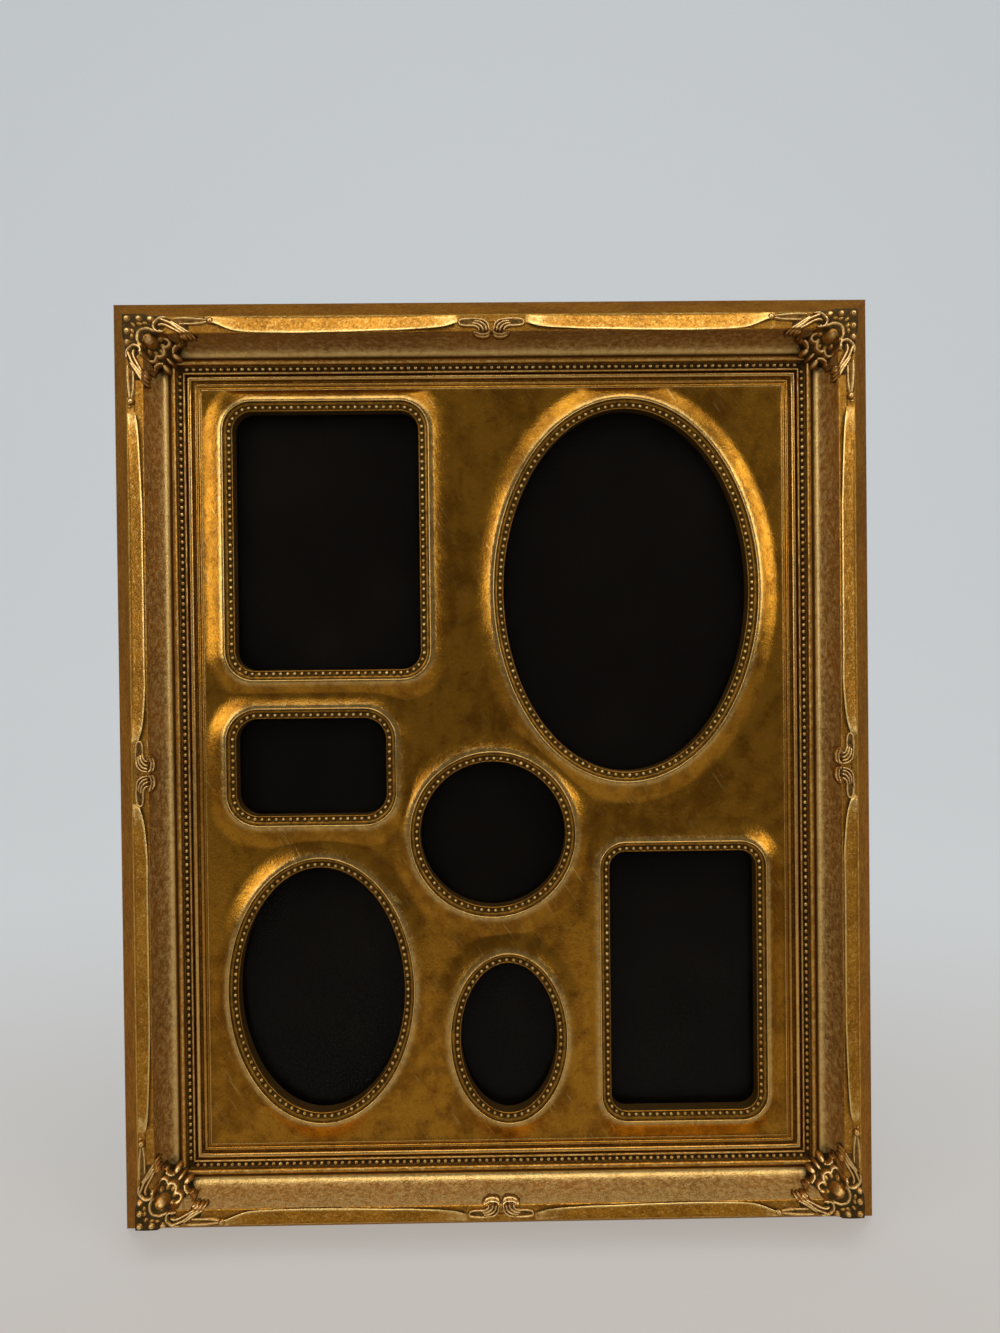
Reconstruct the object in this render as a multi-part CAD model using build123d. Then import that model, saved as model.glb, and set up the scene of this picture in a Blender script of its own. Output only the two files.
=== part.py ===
from build123d import *
from math import atan2, ceil, cos, degrees, hypot, pi, radians, sin, tan
import os

# Collage photo frame with a swept, gilt moulding, seven windows and an easel back.
# Sizes are in millimetres and angles in degrees.
# Everything is first modelled face up: X to the right, Y up the picture and Z towards the
# viewer, with the sight plane, the front of the opening, at zero. A rise is a height above
# that plane and a depth is a distance behind it. stand() then puts the frame on its easel.

# Stance on the table
LEAN = 10.0  # how far the frame leans back
LEG_OPENING = 18.0  # angle between the open leg and the back of the frame
TABLE_REACH = 900.0  # size of the block that stands for the table when the foot is cut
OVERRUN = 2.0  # how far a cutting tool runs past the piece it cuts
FACETS = 8  # sides of the plain shanks and wires
DOME_FACETS = 6  # sides of the small carved domes, which stay plain
HEAD_FACETS = 16  # sides of the rivet and screw heads and the buttons' round ends
SEAT_GAP = 0.3  # clearance between loose flat pieces
EMBED = 0.4  # how far a fused relief reaches into what carries it

# Glazing size and what the lip covers of it
GLASS_WIDTH = 279.4
GLASS_HEIGHT = 355.6
GLASS_THICKNESS = 2.0
SIGHT_LAP = 6.35
RABBET_CLEARANCE = 0.8  # round the edge of each loose pane
SIGHT_WIDTH = GLASS_WIDTH - 2 * SIGHT_LAP
SIGHT_HEIGHT = GLASS_HEIGHT - 2 * SIGHT_LAP

# Stack of pieces in the rabbet, front to back
LIP_THICKNESS = 3.0
MAT_THICKNESS = 2.0
CARD_THICKNESS = 1.0
BOARD_THICKNESS = 3.0
MAT_FRONT = LIP_THICKNESS + SEAT_GAP
MAT_BACK = MAT_FRONT + MAT_THICKNESS
GLASS_FRONT = MAT_BACK + SEAT_GAP
GLASS_BACK = GLASS_FRONT + GLASS_THICKNESS
CARD_FRONT = GLASS_BACK + SEAT_GAP
CARD_BACK = CARD_FRONT + CARD_THICKNESS
BOARD_FRONT = CARD_BACK + SEAT_GAP
BOARD_BACK = BOARD_FRONT + BOARD_THICKNESS
RAIL_BACK = BOARD_BACK + SEAT_GAP

# Moulding section, outwards from the sight edge
RAIL_WIDTH = 32.0
LIP_WIDTH = 0.9
LIP_RISE = 1.0
LIP_SHOULDER = 0.6
GROOVE_WIDTH = 2.8
GROOVE_DEPTH = 0.4
FILLET_WIDTH = 2.3
FILLET_SHOULDER = 1.2
FILLET_RISE = 2.2
LEDGE_WIDTH = 1.6
LEDGE_RISE = 0.6
COVE_WIDTH = 4.8
COVE_RISE = 16.2
COVE_SAG = 1.6  # how deep the cove is scooped behind its chord
FACE_RISE = 17.0
FACE_WIDTH = 7.0
SIDE_FOOT = 3.5  # depth at which the sloping outer side turns square
RABBET_EDGE = SIGHT_LAP + RABBET_CLEARANCE
FILLET_END = LIP_WIDTH + GROOVE_WIDTH + FILLET_WIDTH
SLIP_EDGE = FILLET_END + LEDGE_WIDTH / 2  # where the slip meets the rail, under the ledge
COVE_FOOT = FILLET_END + LEDGE_WIDTH
FACE_EDGE = COVE_FOOT + COVE_WIDTH + FACE_WIDTH

# Swept blade on each half rail: its crest swings out over the cove
BLADE_RISE = 1.8
BLADE_SWING = 4.4  # how far the crest travels across the rail
BLADE_CREST_START = 16.4  # crest from the sight edge where the blade is narrowest
BLADE_UNDERCUT = 0.7
BLADE_BOW = 1.1  # how far the outer line is drawn in at mid length
BLADE_CORNER_GAP = 36.5  # from the face's outer corner to the blade's outer end
BLADE_CENTRE_GAP = 13.5  # from the middle of the rail to the blade's inner end
BLADE_LENGTH_SHARE = (0.0, 0.06, 0.17, 0.35, 0.58, 0.80, 0.93, 1.0)
BLADE_SWING_SHARE = (0.0, 0.45, 0.76, 0.97, 1.0, 0.88, 0.55, 0.06)
BLADE_RISE_SHARE = (0.15, 0.60, 0.86, 1.0, 1.0, 0.90, 0.62, 0.15)

# Pearl strip pressed into the groove of each rail
STRIP_SIDE_CLEARANCE = 0.05
STRIP_BASE = 0.5
PEARL_WIDTH = 2.1
PEARL_PITCH = 3.0

# Collage mat: relief inside the sight edge
MAT_EDGE_GAP = 1.0  # dark gap between the lip and the mat's relief
EDGE_RIDGE_WIDTH = 1.6
EDGE_RIDGE_RISE = 0.3
BORDER_DEPTH = 0.7
FINE_RIDGE_INSET = 4.4
FINE_RIDGE_WIDTH = 0.8
FINE_RIDGE_DEPTH = 0.1
FIELD_INSET = 7.0
COLLAR_RISE = 2.6
COLLAR_WIDTH = 8.0
RIM_WIDTH = 4.8  # from the window's edge to the collar's crest line
RIM_DROP = 4.0  # how far the window's edge lies behind the crest line
RIM_LINE_WIDTH = 0.7

# Windows, as shares of the sight size: kind, width, height, centre across and centre up,
# and the corner radius as a share of the window's own width
WINDOW_SHARES = (
    ("rounded", 0.302, 0.328, -0.2715, 0.288, 0.104),
    ("oval", 0.4004, 0.4608, 0.2156, 0.2211, 0.0),
    ("rounded", 0.2437, 0.1234, -0.3011, 0.0012, 0.148),
    ("oval", 0.2385, 0.1855, -0.0064, -0.0878, 0.0),
    ("oval", 0.2711, 0.3129, -0.2887, -0.284, 0.0),
    ("oval", 0.159, 0.1913, 0.0165, -0.3482, 0.0),
    ("rounded", 0.2407, 0.3319, 0.3045, -0.2782, 0.109),
)

# Corner ornament, measured inwards from the face's outer corner along both edges
ORNAMENT_OVERHANG = 1.0  # beyond the face's outer line
ORNAMENT_RISE = 1.2  # of its ground above the face
GROUND_WIDTH = 9.8  # along the mitre
SHELL_TOP = 6.8  # upper end of the sloping shell, on the mitre
SHELL_END = 13.9  # its lower end, over the fillet
SHELL_END_RISE = 6.8
SHELL_WIDTH = 10.5
SHELL_END_WIDTH = 7.0
BOSS_PLACE_SHARE = 0.42  # down the shell's slope
BOSS_LENGTH = 7.0
BOSS_WIDTH = 5.3
BOSS_RISE = 2.0  # square to the slope
LOBE_PLACE_SHARE = 0.84
LOBE_RADIUS = 2.6
LOBE_SPACING = 4.2
LOBE_RISE = 0.9
LOBE_DEPTH = 2.0  # how far a lobe reaches into the shell
SCROLL_ALONG = 12.8
SCROLL_ACROSS = 4.2
SCROLL_RADIUS = 2.7
SCROLL_RISE = 2.4
LEAF_ALONG = 27.0
LEAF_ACROSS = 7.9
LEAF_WIDTH = 5.2
LEAF_TIP_WIDTH = 1.6
LEAF_RISE = 1.5
LEAF_TIP_DROP = 5.4
LEAF_FOOT_DROP = 10.0
CURL_NEAR_ALONG = 16.4
CURL_NEAR_ACROSS = 13.0
CURL_NEAR_RISE = 6.6
CURL_FAR_ALONG = 21.4
CURL_FAR_ACROSS = 8.0
CURL_FAR_RISE = 12.4
CURL_WIDTH = 1.8
STEM_START = 15.0
STEM_ACROSS = 3.4
STEM_WIDTH = 1.9
STEM_RISE = 0.9
BALL_RADIUS = 1.5
BALL_RISE = 1.7
PEARL_INSET = 1.2
CORNER_PEARL_RADIUS = 1.5
CORNER_PEARL_STEP = 4.8
CORNER_PEARL_COUNT = 3
CORNER_PEARL_RISE = 1.3
POD_LENGTH = 4.6
POD_WIDTH = 2.6
POD_RISE = 2.0
POD_STEP = 3.1
DOME_TOP_SHARE = 0.58  # width of a dome's flat top
BEVEL_SHARE = 0.3  # of a bar's width, how deep its bevels reach

# Centre ornament: two leaf sprigs, measured from the middle of the rail and the outer line
SPRIG_STEM_START = 6.5
SPRIG_STEM_END = 13.2
SPRIG_STEM_ACROSS = 4.0
SPRIG_STEM_WIDTH = 3.0
SPRIG_RISE = 1.2
SPRIG_RIB_COUNT = 2
SPRIG_RIB_WIDTH = 1.1
SPRIG_RIB_RISE = 0.8
SPRIG_ROOT_ALONG = 7.4
SPRIG_ROOT_ACROSS = 3.0
SPRIG_TIP_ACROSS = 8.6
SPRIG_TIP_STEP = 3.4
SPRIG_INNER_TIP = 1.4
SPRIG_CURL_WIDTH = 1.4
SPRIG_FOOT_DROP = 4.0

# Turn buttons that hold the board in, and their screws
BUTTON_LENGTH = 16.5
BUTTON_TIP_WIDTH = 4.0
BUTTON_THICKNESS = 1.0
BUTTON_TAIL = 4.0  # from the pivot to the round end
BUTTON_PIVOT = 12.6  # from the sight edge
BUTTON_GAP = 0.1
BUTTON_HOLE_CLEARANCE = 0.05
BUTTON_SPREAD_SHARE = 0.30  # of the sight width, to each side, along the top and bottom
SCREW_RADIUS = 1.4
SCREW_DEPTH = 8.0
SCREW_HEAD_RADIUS = 3.0
SCREW_HEAD_RISE = 1.5

# Hanging rings on the side rails
HANGER_HEIGHT_SHARE = 0.27  # of the sight height, above the middle
HANGER_ACROSS = 19.8  # from the sight edge
STRAP_WIDTH = 8.0
STRAP_LENGTH = 10.0
STRAP_THICKNESS = 1.4
STRAP_SCREW_DROP = 5.8
KNUCKLE_WALL = 0.9
RING_WIRE = 2.0
RING_CLEARANCE = 0.06
RING_WIDTH = 17.0
RING_DROP = 14.5
RING_CORNER = 3.0
RING_FACETS = 8
HANGER_SCREW_HEAD_RADIUS = 2.6
HANGER_SCREW_HEAD_RISE = 0.8

# Easel leg and its hinge
HINGE_HEIGHT = 250.0  # axis above the frame's bottom edge
LEG_THICKNESS = 3.0
LEG_TOP_WIDTH = 46.0
LEG_FOOT_WIDTH = 74.0
LEG_TOP_GAP = 3.0  # from the hinge axis to the leg's top edge
LEG_TOP_CORNER = 6.0
LEG_BOARD_GAP = 1.0  # when folded
LEAF_THICKNESS = 0.8
KNUCKLE_RADIUS = 2.2
KNUCKLE_GAP = 0.3
OUTER_KNUCKLE = 10.0
CENTRE_KNUCKLE = 16.0
LEAF_HEIGHT = 19.0
LEAF_CORNER = 3.0
LEAF_CLEAR = 0.6  # between a leaf's edge and the other leaf's knuckle
PIN_RADIUS = 0.9
PIN_CLEARANCE = 0.05
PIN_HEAD_RADIUS = 1.5
PIN_HEAD_LENGTH = 0.8
STOP_WIDTH = 6.0
STOP_LENGTH = 6.0
STOP_THICKNESS = 1.2
RIVET_RADIUS = 1.2
RIVET_HEAD_RADIUS = 2.3
RIVET_HEAD_RISE = 0.7
RIVET_SKIN = 0.5  # of the board or leg left in front of a rivet's end
RIVET_SPREAD = 24.0
RIVET_ROW = 12.0  # from the hinge axis

# V nails across the back of the mitres
V_NAIL_WIDTH = 8.0
V_NAIL_THICKNESS = 0.6
V_NAIL_DEPTH = 7.0
V_NAIL_ANGLE = 45.0
V_NAIL_REACH = 21.0  # from the sight corner, measured square to either rail

OUTER_HEIGHT = SIGHT_HEIGHT + 2 * RAIL_WIDTH
HINGE_UP = HINGE_HEIGHT - OUTER_HEIGHT / 2
HINGE_DEPTH = BOARD_BACK + SEAT_GAP + KNUCKLE_RADIUS
HINGE_WIDTH = CENTRE_KNUCKLE + 2 * OUTER_KNUCKLE + 2 * KNUCKLE_GAP
RING_AXIS_DEPTH = RAIL_BACK + RING_WIRE / 2 + RING_CLEARANCE + KNUCKLE_WALL
HANGER_UP = SIGHT_HEIGHT * HANGER_HEIGHT_SHARE


def standing_place(front, back):
    """Place that stands the face-up frame on its bottom back edge, leaned back.

    front and back are how far the standing frame reaches along Y from that edge. The
    origin comes midway between them, at table height.
    """
    edge = Pos(0, OUTER_HEIGHT / 2, RAIL_BACK)
    return Pos(0, -(front + back) / 2, 0) * Rot(90 - LEAN, 0, 0) * edge


def foot_reach():
    """How far the open leg's foot stands behind the frame's bottom back edge."""
    tilt = radians(LEG_OPENING - LEAN)
    axis_up = HINGE_HEIGHT * cos(radians(LEAN)) - (HINGE_DEPTH - RAIL_BACK) * sin(radians(LEAN))
    axis_back = HINGE_HEIGHT * sin(radians(LEAN)) + (HINGE_DEPTH - RAIL_BACK) * cos(radians(LEAN))
    leg_face = HINGE_DEPTH - BOARD_BACK - LEG_BOARD_GAP - LEG_THICKNESS
    return axis_back + (axis_up + leg_face * sin(tilt)) * tan(tilt) - leg_face * cos(tilt)


def front_reach():
    """How far the face's bottom corner stands before the frame's bottom back edge."""
    up = RAIL_WIDTH - FACE_EDGE - ORNAMENT_OVERHANG
    forward = RAIL_BACK + FACE_RISE + ORNAMENT_RISE + CORNER_PEARL_RISE
    return up * sin(radians(LEAN)) - forward * cos(radians(LEAN))


STAND = standing_place(front_reach(), foot_reach())


def rectangle_block(width, height, low, high):
    """Block centred on the frame between two rises."""
    return Pos(0, 0, low) * extrude(Rectangle(width, height), high - low)


def four_ways(shape):
    """A shape of the top right corner, mirrored to all four corners, by name."""
    left = mirror(shape, Plane.YZ)
    return {
        "top_right": shape,
        "top_left": left,
        "bottom_right": mirror(shape, Plane.XZ),
        "bottom_left": mirror(left, Plane.XZ),
    }


def four_sides(top, side):
    """A shape of the top and one of the sides, turned to all four sides, by name."""
    return {
        "top": top,
        "bottom": Rot(0, 0, 180) * top,
        "left": Rot(0, 0, 90) * side,
        "right": Rot(0, 0, -90) * side,
    }


def slip_section():
    """Closed outline of the slip, the thin inner moulding that carries the pearls.

    X runs outwards from the sight edge and Y is the rise.
    """
    groove = LIP_WIDTH + GROOVE_WIDTH
    crown = (groove + FILLET_WIDTH / 2, FILLET_RISE)
    lines = [
        Line((0, -LIP_THICKNESS), (0, LIP_SHOULDER)),
        ThreePointArc((0, LIP_SHOULDER), (LIP_WIDTH / 2, LIP_RISE), (LIP_WIDTH, LIP_SHOULDER)),
        Polyline(
            (LIP_WIDTH, LIP_SHOULDER),
            (LIP_WIDTH, -GROOVE_DEPTH),
            (groove, -GROOVE_DEPTH),
            (groove, FILLET_SHOULDER),
        ),
        ThreePointArc((groove, FILLET_SHOULDER), crown, (FILLET_END, FILLET_SHOULDER)),
        Polyline(
            (FILLET_END, FILLET_SHOULDER),
            (FILLET_END, LEDGE_RISE),
            (SLIP_EDGE, LEDGE_RISE),
            (SLIP_EDGE, -LIP_THICKNESS),
            (0, -LIP_THICKNESS),
        ),
    ]
    return make_face(Curve() + lines)


def moulding_section():
    """Closed outline of the rail outside the slip: ledge, cove, face and sloping side."""
    cove = COVE_FOOT + COVE_WIDTH
    chord = hypot(COVE_WIDTH, COVE_RISE - LEDGE_RISE)
    scoop = (
        COVE_FOOT + COVE_WIDTH / 2 + COVE_SAG * (COVE_RISE - LEDGE_RISE) / chord,
        (LEDGE_RISE + COVE_RISE) / 2 - COVE_SAG * COVE_WIDTH / chord,
    )
    lines = [
        Line((SLIP_EDGE, LEDGE_RISE), (COVE_FOOT, LEDGE_RISE)),
        ThreePointArc((COVE_FOOT, LEDGE_RISE), scoop, (cove, COVE_RISE)),
        Polyline(
            (cove, COVE_RISE),
            (cove, FACE_RISE),
            (FACE_EDGE, FACE_RISE),
            (RAIL_WIDTH, -SIDE_FOOT),
            (RAIL_WIDTH, -RAIL_BACK),
            (RABBET_EDGE, -RAIL_BACK),
            (RABBET_EDGE, -LIP_THICKNESS),
            (SLIP_EDGE, -LIP_THICKNESS),
            (SLIP_EDGE, LEDGE_RISE),
        ),
    ]
    return make_face(Curve() + lines)


def mitre_block(along, across, inner, outer, low, high):
    """Block over the top rail's mitred plan, between two distances from the sight edge."""
    plan = Polygon(
        (-along / 2 - inner, across + inner),
        (along / 2 + inner, across + inner),
        (along / 2 + outer, across + outer),
        (-along / 2 - outer, across + outer),
        align=None,
    )
    return Pos(0, 0, low) * extrude(plan, high - low)


def blade(along, across):
    """Swept blade on the left half of the top rail, as a loft of wedge sections."""
    start = -(along / 2 + FACE_EDGE - BLADE_CORNER_GAP)
    end = -BLADE_CENTRE_GAP
    base = FACE_RISE - EMBED
    sections = []
    for length, swing, rise in zip(BLADE_LENGTH_SHARE, BLADE_SWING_SHARE, BLADE_RISE_SHARE):
        crest = across + BLADE_CREST_START - BLADE_SWING * swing
        edge = across + FACE_EDGE - BLADE_BOW * swing
        wedge = Polygon(
            (edge, base),
            (crest, FACE_RISE + BLADE_RISE * rise),
            (crest + BLADE_UNDERCUT, base),
            align=None,
        )
        sections.append(Plane.YZ.offset(start + (end - start) * length) * wedge)
    return loft(sections)


def mitred_bar(section, along, across):
    """Bar of one section along the top of the frame, mitred at both ends."""
    placed = Plane.YZ * (Pos(across, 0) * section)
    plan = mitre_block(
        along, across, -OVERRUN, RAIL_WIDTH + OVERRUN, -RAIL_BACK - OVERRUN, FACE_RISE + OVERRUN
    )
    return extrude(placed, along / 2 + RAIL_WIDTH + OVERRUN, both=True) & plan


def rail(along, across):
    """Top rail with its two swept blades, for the given sight length and distance."""
    left = blade(along, across)
    return mitred_bar(moulding_section(), along, across) + left + mirror(left, Plane.YZ)


def faceted_solid(rings):
    """Solid with flat faces through rings of points that are alike and in order."""
    outlines = [rings[0], rings[-1]]
    for lower, upper in zip(rings, rings[1:]):
        for k, corner in enumerate(lower):
            after = (k + 1) % len(lower)
            outlines.append([corner, lower[after], upper[after], upper[k]])
    return Solid(Shell([Face(Wire.make_polygon(outline)) for outline in outlines]))


def faceted_dome(length, width, rise):
    """Oval dome with flat facets that stands on the ground plane, its length along X."""
    turns = [2 * pi * k / DOME_FACETS for k in range(DOME_FACETS)]
    rings = []
    for up, share in ((0, 1.0), (rise, DOME_TOP_SHARE)):
        rings.append(
            [(length / 2 * share * cos(t), width / 2 * share * sin(t), up) for t in turns]
        )
    return faceted_solid(rings)


def round_dome(radius, rise):
    """Round dome with plain facets that stands on the ground plane."""
    return faceted_dome(2 * radius, 2 * radius, rise)


def pearl_strip(along, across):
    """Pearl strip for the top rail's groove, mitred like the rail."""
    inner = LIP_WIDTH + STRIP_SIDE_CLEARANCE
    outer = LIP_WIDTH + GROOVE_WIDTH - STRIP_SIDE_CLEARANCE
    top = STRIP_BASE - GROOVE_DEPTH
    middle = (inner + outer) / 2
    strip = mitre_block(along, across, inner, outer, -GROOVE_DEPTH, top)
    run = along + 2 * middle
    spaces = round(run / PEARL_PITCH)
    pitch = run / spaces
    ridge = Pos(0, across + middle, top) * Rectangle(run - pitch, PEARL_WIDTH)
    return strip + extrude(ridge, PEARL_WIDTH / 2, taper=30)


def window_face(window, growth):
    """Outline of a window, grown by a distance all round, at its place on the mat."""
    kind, width_share, height_share, across_share, up_share, corner_share = window
    width = SIGHT_WIDTH * width_share
    height = SIGHT_HEIGHT * height_share
    if kind == "oval":
        outline = Ellipse(width / 2 + growth, height / 2 + growth)
    else:
        corner = width * corner_share + growth
        outline = RectangleRounded(width + 2 * growth, height + 2 * growth, corner)
    return Pos(SIGHT_WIDTH * across_share, SIGHT_HEIGHT * up_share) * outline


def window_loft(window, growths, rises):
    """Solid between two grown outlines of one window at two rises."""
    faces = [Pos(0, 0, up) * window_face(window, grow) for grow, up in zip(growths, rises)]
    return loft(faces, ruled=True)


def collar(window):
    """Raised collar round one window, rising from the field to its crest line."""
    return window_loft(window, (RIM_WIDTH + COLLAR_WIDTH, RIM_WIDTH), (-EMBED, COLLAR_RISE))


def window_cut(window):
    """What is cut out of the mat at one window: its sloping rim and its opening."""
    grown = RIM_WIDTH - RIM_LINE_WIDTH
    slope = window_loft(window, (0, grown), (COLLAR_RISE - RIM_DROP, COLLAR_RISE))
    above = Pos(0, 0, COLLAR_RISE) * extrude(window_face(window, grown), OVERRUN)
    hole = Pos(0, 0, -MAT_BACK - OVERRUN) * extrude(
        window_face(window, 0), MAT_BACK + COLLAR_RISE + OVERRUN
    )
    return [slope, above, hole]


def border_ring(inset, width, rise):
    """Ridge that runs round the mat, at an inset from the edge of the opening."""
    outer = Rectangle(SIGHT_WIDTH - 2 * inset, SIGHT_HEIGHT - 2 * inset)
    inner = Rectangle(SIGHT_WIDTH - 2 * (inset + width), SIGHT_HEIGHT - 2 * (inset + width))
    floor = -BORDER_DEPTH - EMBED
    return Pos(0, 0, floor) * extrude(outer - inner, rise - floor)


def collage_mat():
    """Moulded mat: flange, bordered relief, and seven windows with raised collars."""
    flange = rectangle_block(
        GLASS_WIDTH - RABBET_CLEARANCE, GLASS_HEIGHT - RABBET_CLEARANCE, -MAT_BACK, -MAT_FRONT
    )
    relief = rectangle_block(
        SIGHT_WIDTH - 2 * MAT_EDGE_GAP, SIGHT_HEIGHT - 2 * MAT_EDGE_GAP, -MAT_FRONT, -BORDER_DEPTH
    )
    field_width = SIGHT_WIDTH - 2 * FIELD_INSET
    field_height = SIGHT_HEIGHT - 2 * FIELD_INSET
    field = rectangle_block(field_width, field_height, -BORDER_DEPTH - EMBED, 0)
    keep = rectangle_block(field_width, field_height, -BORDER_DEPTH, COLLAR_RISE + OVERRUN)
    collars = [collar(window) & keep for window in WINDOW_SHARES]
    ridges = [
        border_ring(MAT_EDGE_GAP, EDGE_RIDGE_WIDTH, EDGE_RIDGE_RISE),
        border_ring(FINE_RIDGE_INSET, FINE_RIDGE_WIDTH, -FINE_RIDGE_DEPTH),
    ]
    mat = flange + relief + field + ridges + collars
    for window in WINDOW_SHARES:
        mat = mat - window_cut(window)
    return mat


def pane(front, back):
    """Loose pane of the glazing size between two depths."""
    return rectangle_block(
        GLASS_WIDTH - RABBET_CLEARANCE, GLASS_HEIGHT - RABBET_CLEARANCE, -back, -front
    )


def tapered_bar(start, end, widths, lows, highs):
    """Bevelled bar between two plan points.

    widths, lows and highs each hold the value at the start and at the end. The bevels
    follow the width, which keeps every face flat.
    """
    run = hypot(end[0] - start[0], end[1] - start[1])
    turn = degrees(atan2(end[1] - start[1], end[0] - start[0]))
    rings = []
    for along, width, low, high in zip((0, run), widths, lows, highs):
        shoulder = high - width * BEVEL_SHARE
        outline = (
            (-width / 2, low),
            (width / 2, low),
            (width / 2, shoulder),
            (width / 4, high),
            (-width / 4, high),
            (-width / 2, shoulder),
        )
        rings.append([(along, across, up) for across, up in outline])
    return Pos(start[0], start[1], 0) * Rot(0, 0, turn) * faceted_solid(rings)


def corner_arm(across_first):
    """Scroll, leaf, curl, stem and ball on one side of the corner ornament.

    The plan is measured inwards from the face's outer corner. across_first swaps the two
    plan directions, for the arm on the other side.
    """

    def point(along, across):
        return (across, along) if across_first else (along, across)

    ground = FACE_RISE - EMBED
    scroll_place = point(SCROLL_ALONG, SCROLL_ACROSS)
    scroll = Pos(*scroll_place, ground) * round_dome(SCROLL_RADIUS, SCROLL_RISE + EMBED)
    leaf = tapered_bar(
        scroll_place,
        point(LEAF_ALONG, LEAF_ACROSS),
        (LEAF_WIDTH, LEAF_TIP_WIDTH),
        (FACE_RISE - LEAF_FOOT_DROP, FACE_RISE - LEAF_FOOT_DROP),
        (FACE_RISE + LEAF_RISE, FACE_RISE - LEAF_TIP_DROP),
    )
    curl = tapered_bar(
        point(CURL_NEAR_ALONG, CURL_NEAR_ACROSS),
        point(CURL_FAR_ALONG, CURL_FAR_ACROSS),
        (CURL_WIDTH, CURL_WIDTH),
        (-GROOVE_DEPTH, -GROOVE_DEPTH),
        (CURL_NEAR_RISE, CURL_FAR_RISE),
    )
    ball_along = BLADE_CORNER_GAP - BALL_RADIUS
    stem = tapered_bar(
        point(STEM_START, STEM_ACROSS),
        point(ball_along, STEM_ACROSS),
        (STEM_WIDTH, STEM_WIDTH),
        (ground, ground),
        (FACE_RISE + STEM_RISE, FACE_RISE + STEM_RISE),
    )
    ball = Pos(*point(ball_along, STEM_ACROSS), ground) * round_dome(
        BALL_RADIUS, BALL_RISE + EMBED
    )
    return [scroll, leaf, curl, stem, ball]


def corner_shell():
    """Shell that slopes from the face down over the cove's mitre, with its boss and lobes."""
    top_rise = FACE_RISE + ORNAMENT_RISE
    slope = tapered_bar(
        (SHELL_TOP, SHELL_TOP),
        (SHELL_END, SHELL_END),
        (SHELL_WIDTH, SHELL_END_WIDTH),
        (-GROOVE_DEPTH, -GROOVE_DEPTH),
        (top_rise, SHELL_END_RISE),
    )
    run = hypot(SHELL_END - SHELL_TOP, SHELL_END - SHELL_TOP)
    length = hypot(run, top_rise - SHELL_END_RISE)
    dip = degrees(atan2(top_rise - SHELL_END_RISE, run))
    bank = Pos(SHELL_TOP, SHELL_TOP, top_rise) * Rot(0, 0, 45) * Rot(0, dip, 0)
    boss = Pos(length * BOSS_PLACE_SHARE, 0, -EMBED) * faceted_dome(
        BOSS_LENGTH, BOSS_WIDTH, BOSS_RISE + EMBED
    )
    lobes = [
        Pos(length * LOBE_PLACE_SHARE, aside * LOBE_SPACING, -LOBE_DEPTH)
        * round_dome(LOBE_RADIUS, LOBE_DEPTH + LOBE_RISE)
        for aside in (-1, 0, 1)
    ]
    return [slope] + [bank * solid for solid in (boss, *lobes)]


def corner_pods():
    """Three buds side by side over the fillet, pointing at the sight corner."""
    place = FACE_EDGE - LIP_WIDTH - GROOVE_WIDTH - POD_WIDTH / 4
    bud = faceted_dome(POD_LENGTH, POD_WIDTH, POD_RISE + FILLET_RISE)
    pods = []
    for index in (-1, 0, 1):
        aside = index * POD_STEP
        spot = Pos(place - aside * cos(pi / 4), place + aside * cos(pi / 4), 0)
        pods.append(spot * Rot(0, 0, 45) * bud)
    return pods


def corner_pearls():
    """Row of pearls along the two outer edges of the corner ornament."""
    places = [(PEARL_INSET, PEARL_INSET)]
    for index in range(1, CORNER_PEARL_COUNT):
        along = PEARL_INSET + CORNER_PEARL_STEP * index
        places += [(along, PEARL_INSET), (PEARL_INSET, along)]
    ground = FACE_RISE + ORNAMENT_RISE - EMBED
    dome = round_dome(CORNER_PEARL_RADIUS, CORNER_PEARL_RISE + EMBED)
    return [Pos(x, y, ground) * dome for x, y in places]


def corner_ground():
    """Flat ground under the pearls, which wraps the corner of the face."""
    reach = PEARL_INSET + CORNER_PEARL_STEP * CORNER_PEARL_COUNT
    plan = Polygon(
        (-ORNAMENT_OVERHANG, -ORNAMENT_OVERHANG),
        (reach, -ORNAMENT_OVERHANG),
        (reach, GROUND_WIDTH / 2),
        (GROUND_WIDTH, GROUND_WIDTH),
        (GROUND_WIDTH / 2, reach),
        (-ORNAMENT_OVERHANG, reach),
        align=None,
    )
    foot = FACE_RISE - ORNAMENT_OVERHANG
    return Pos(0, 0, foot) * extrude(plan, FACE_RISE + ORNAMENT_RISE - foot)


def corner_ornament(seat):
    """Cast ornament of the top right corner, cut to lie on the mouldings there."""
    arms = corner_arm(False) + corner_arm(True)
    pieces = [corner_ground()] + corner_shell() + corner_pearls() + corner_pods() + arms
    cast = pieces[0] + pieces[1:]
    corner_x = SIGHT_WIDTH / 2 + FACE_EDGE
    corner_y = SIGHT_HEIGHT / 2 + FACE_EDGE
    placed = Pos(corner_x, corner_y, 0) * Rot(0, 0, 180) * cast
    return placed - seat


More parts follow.
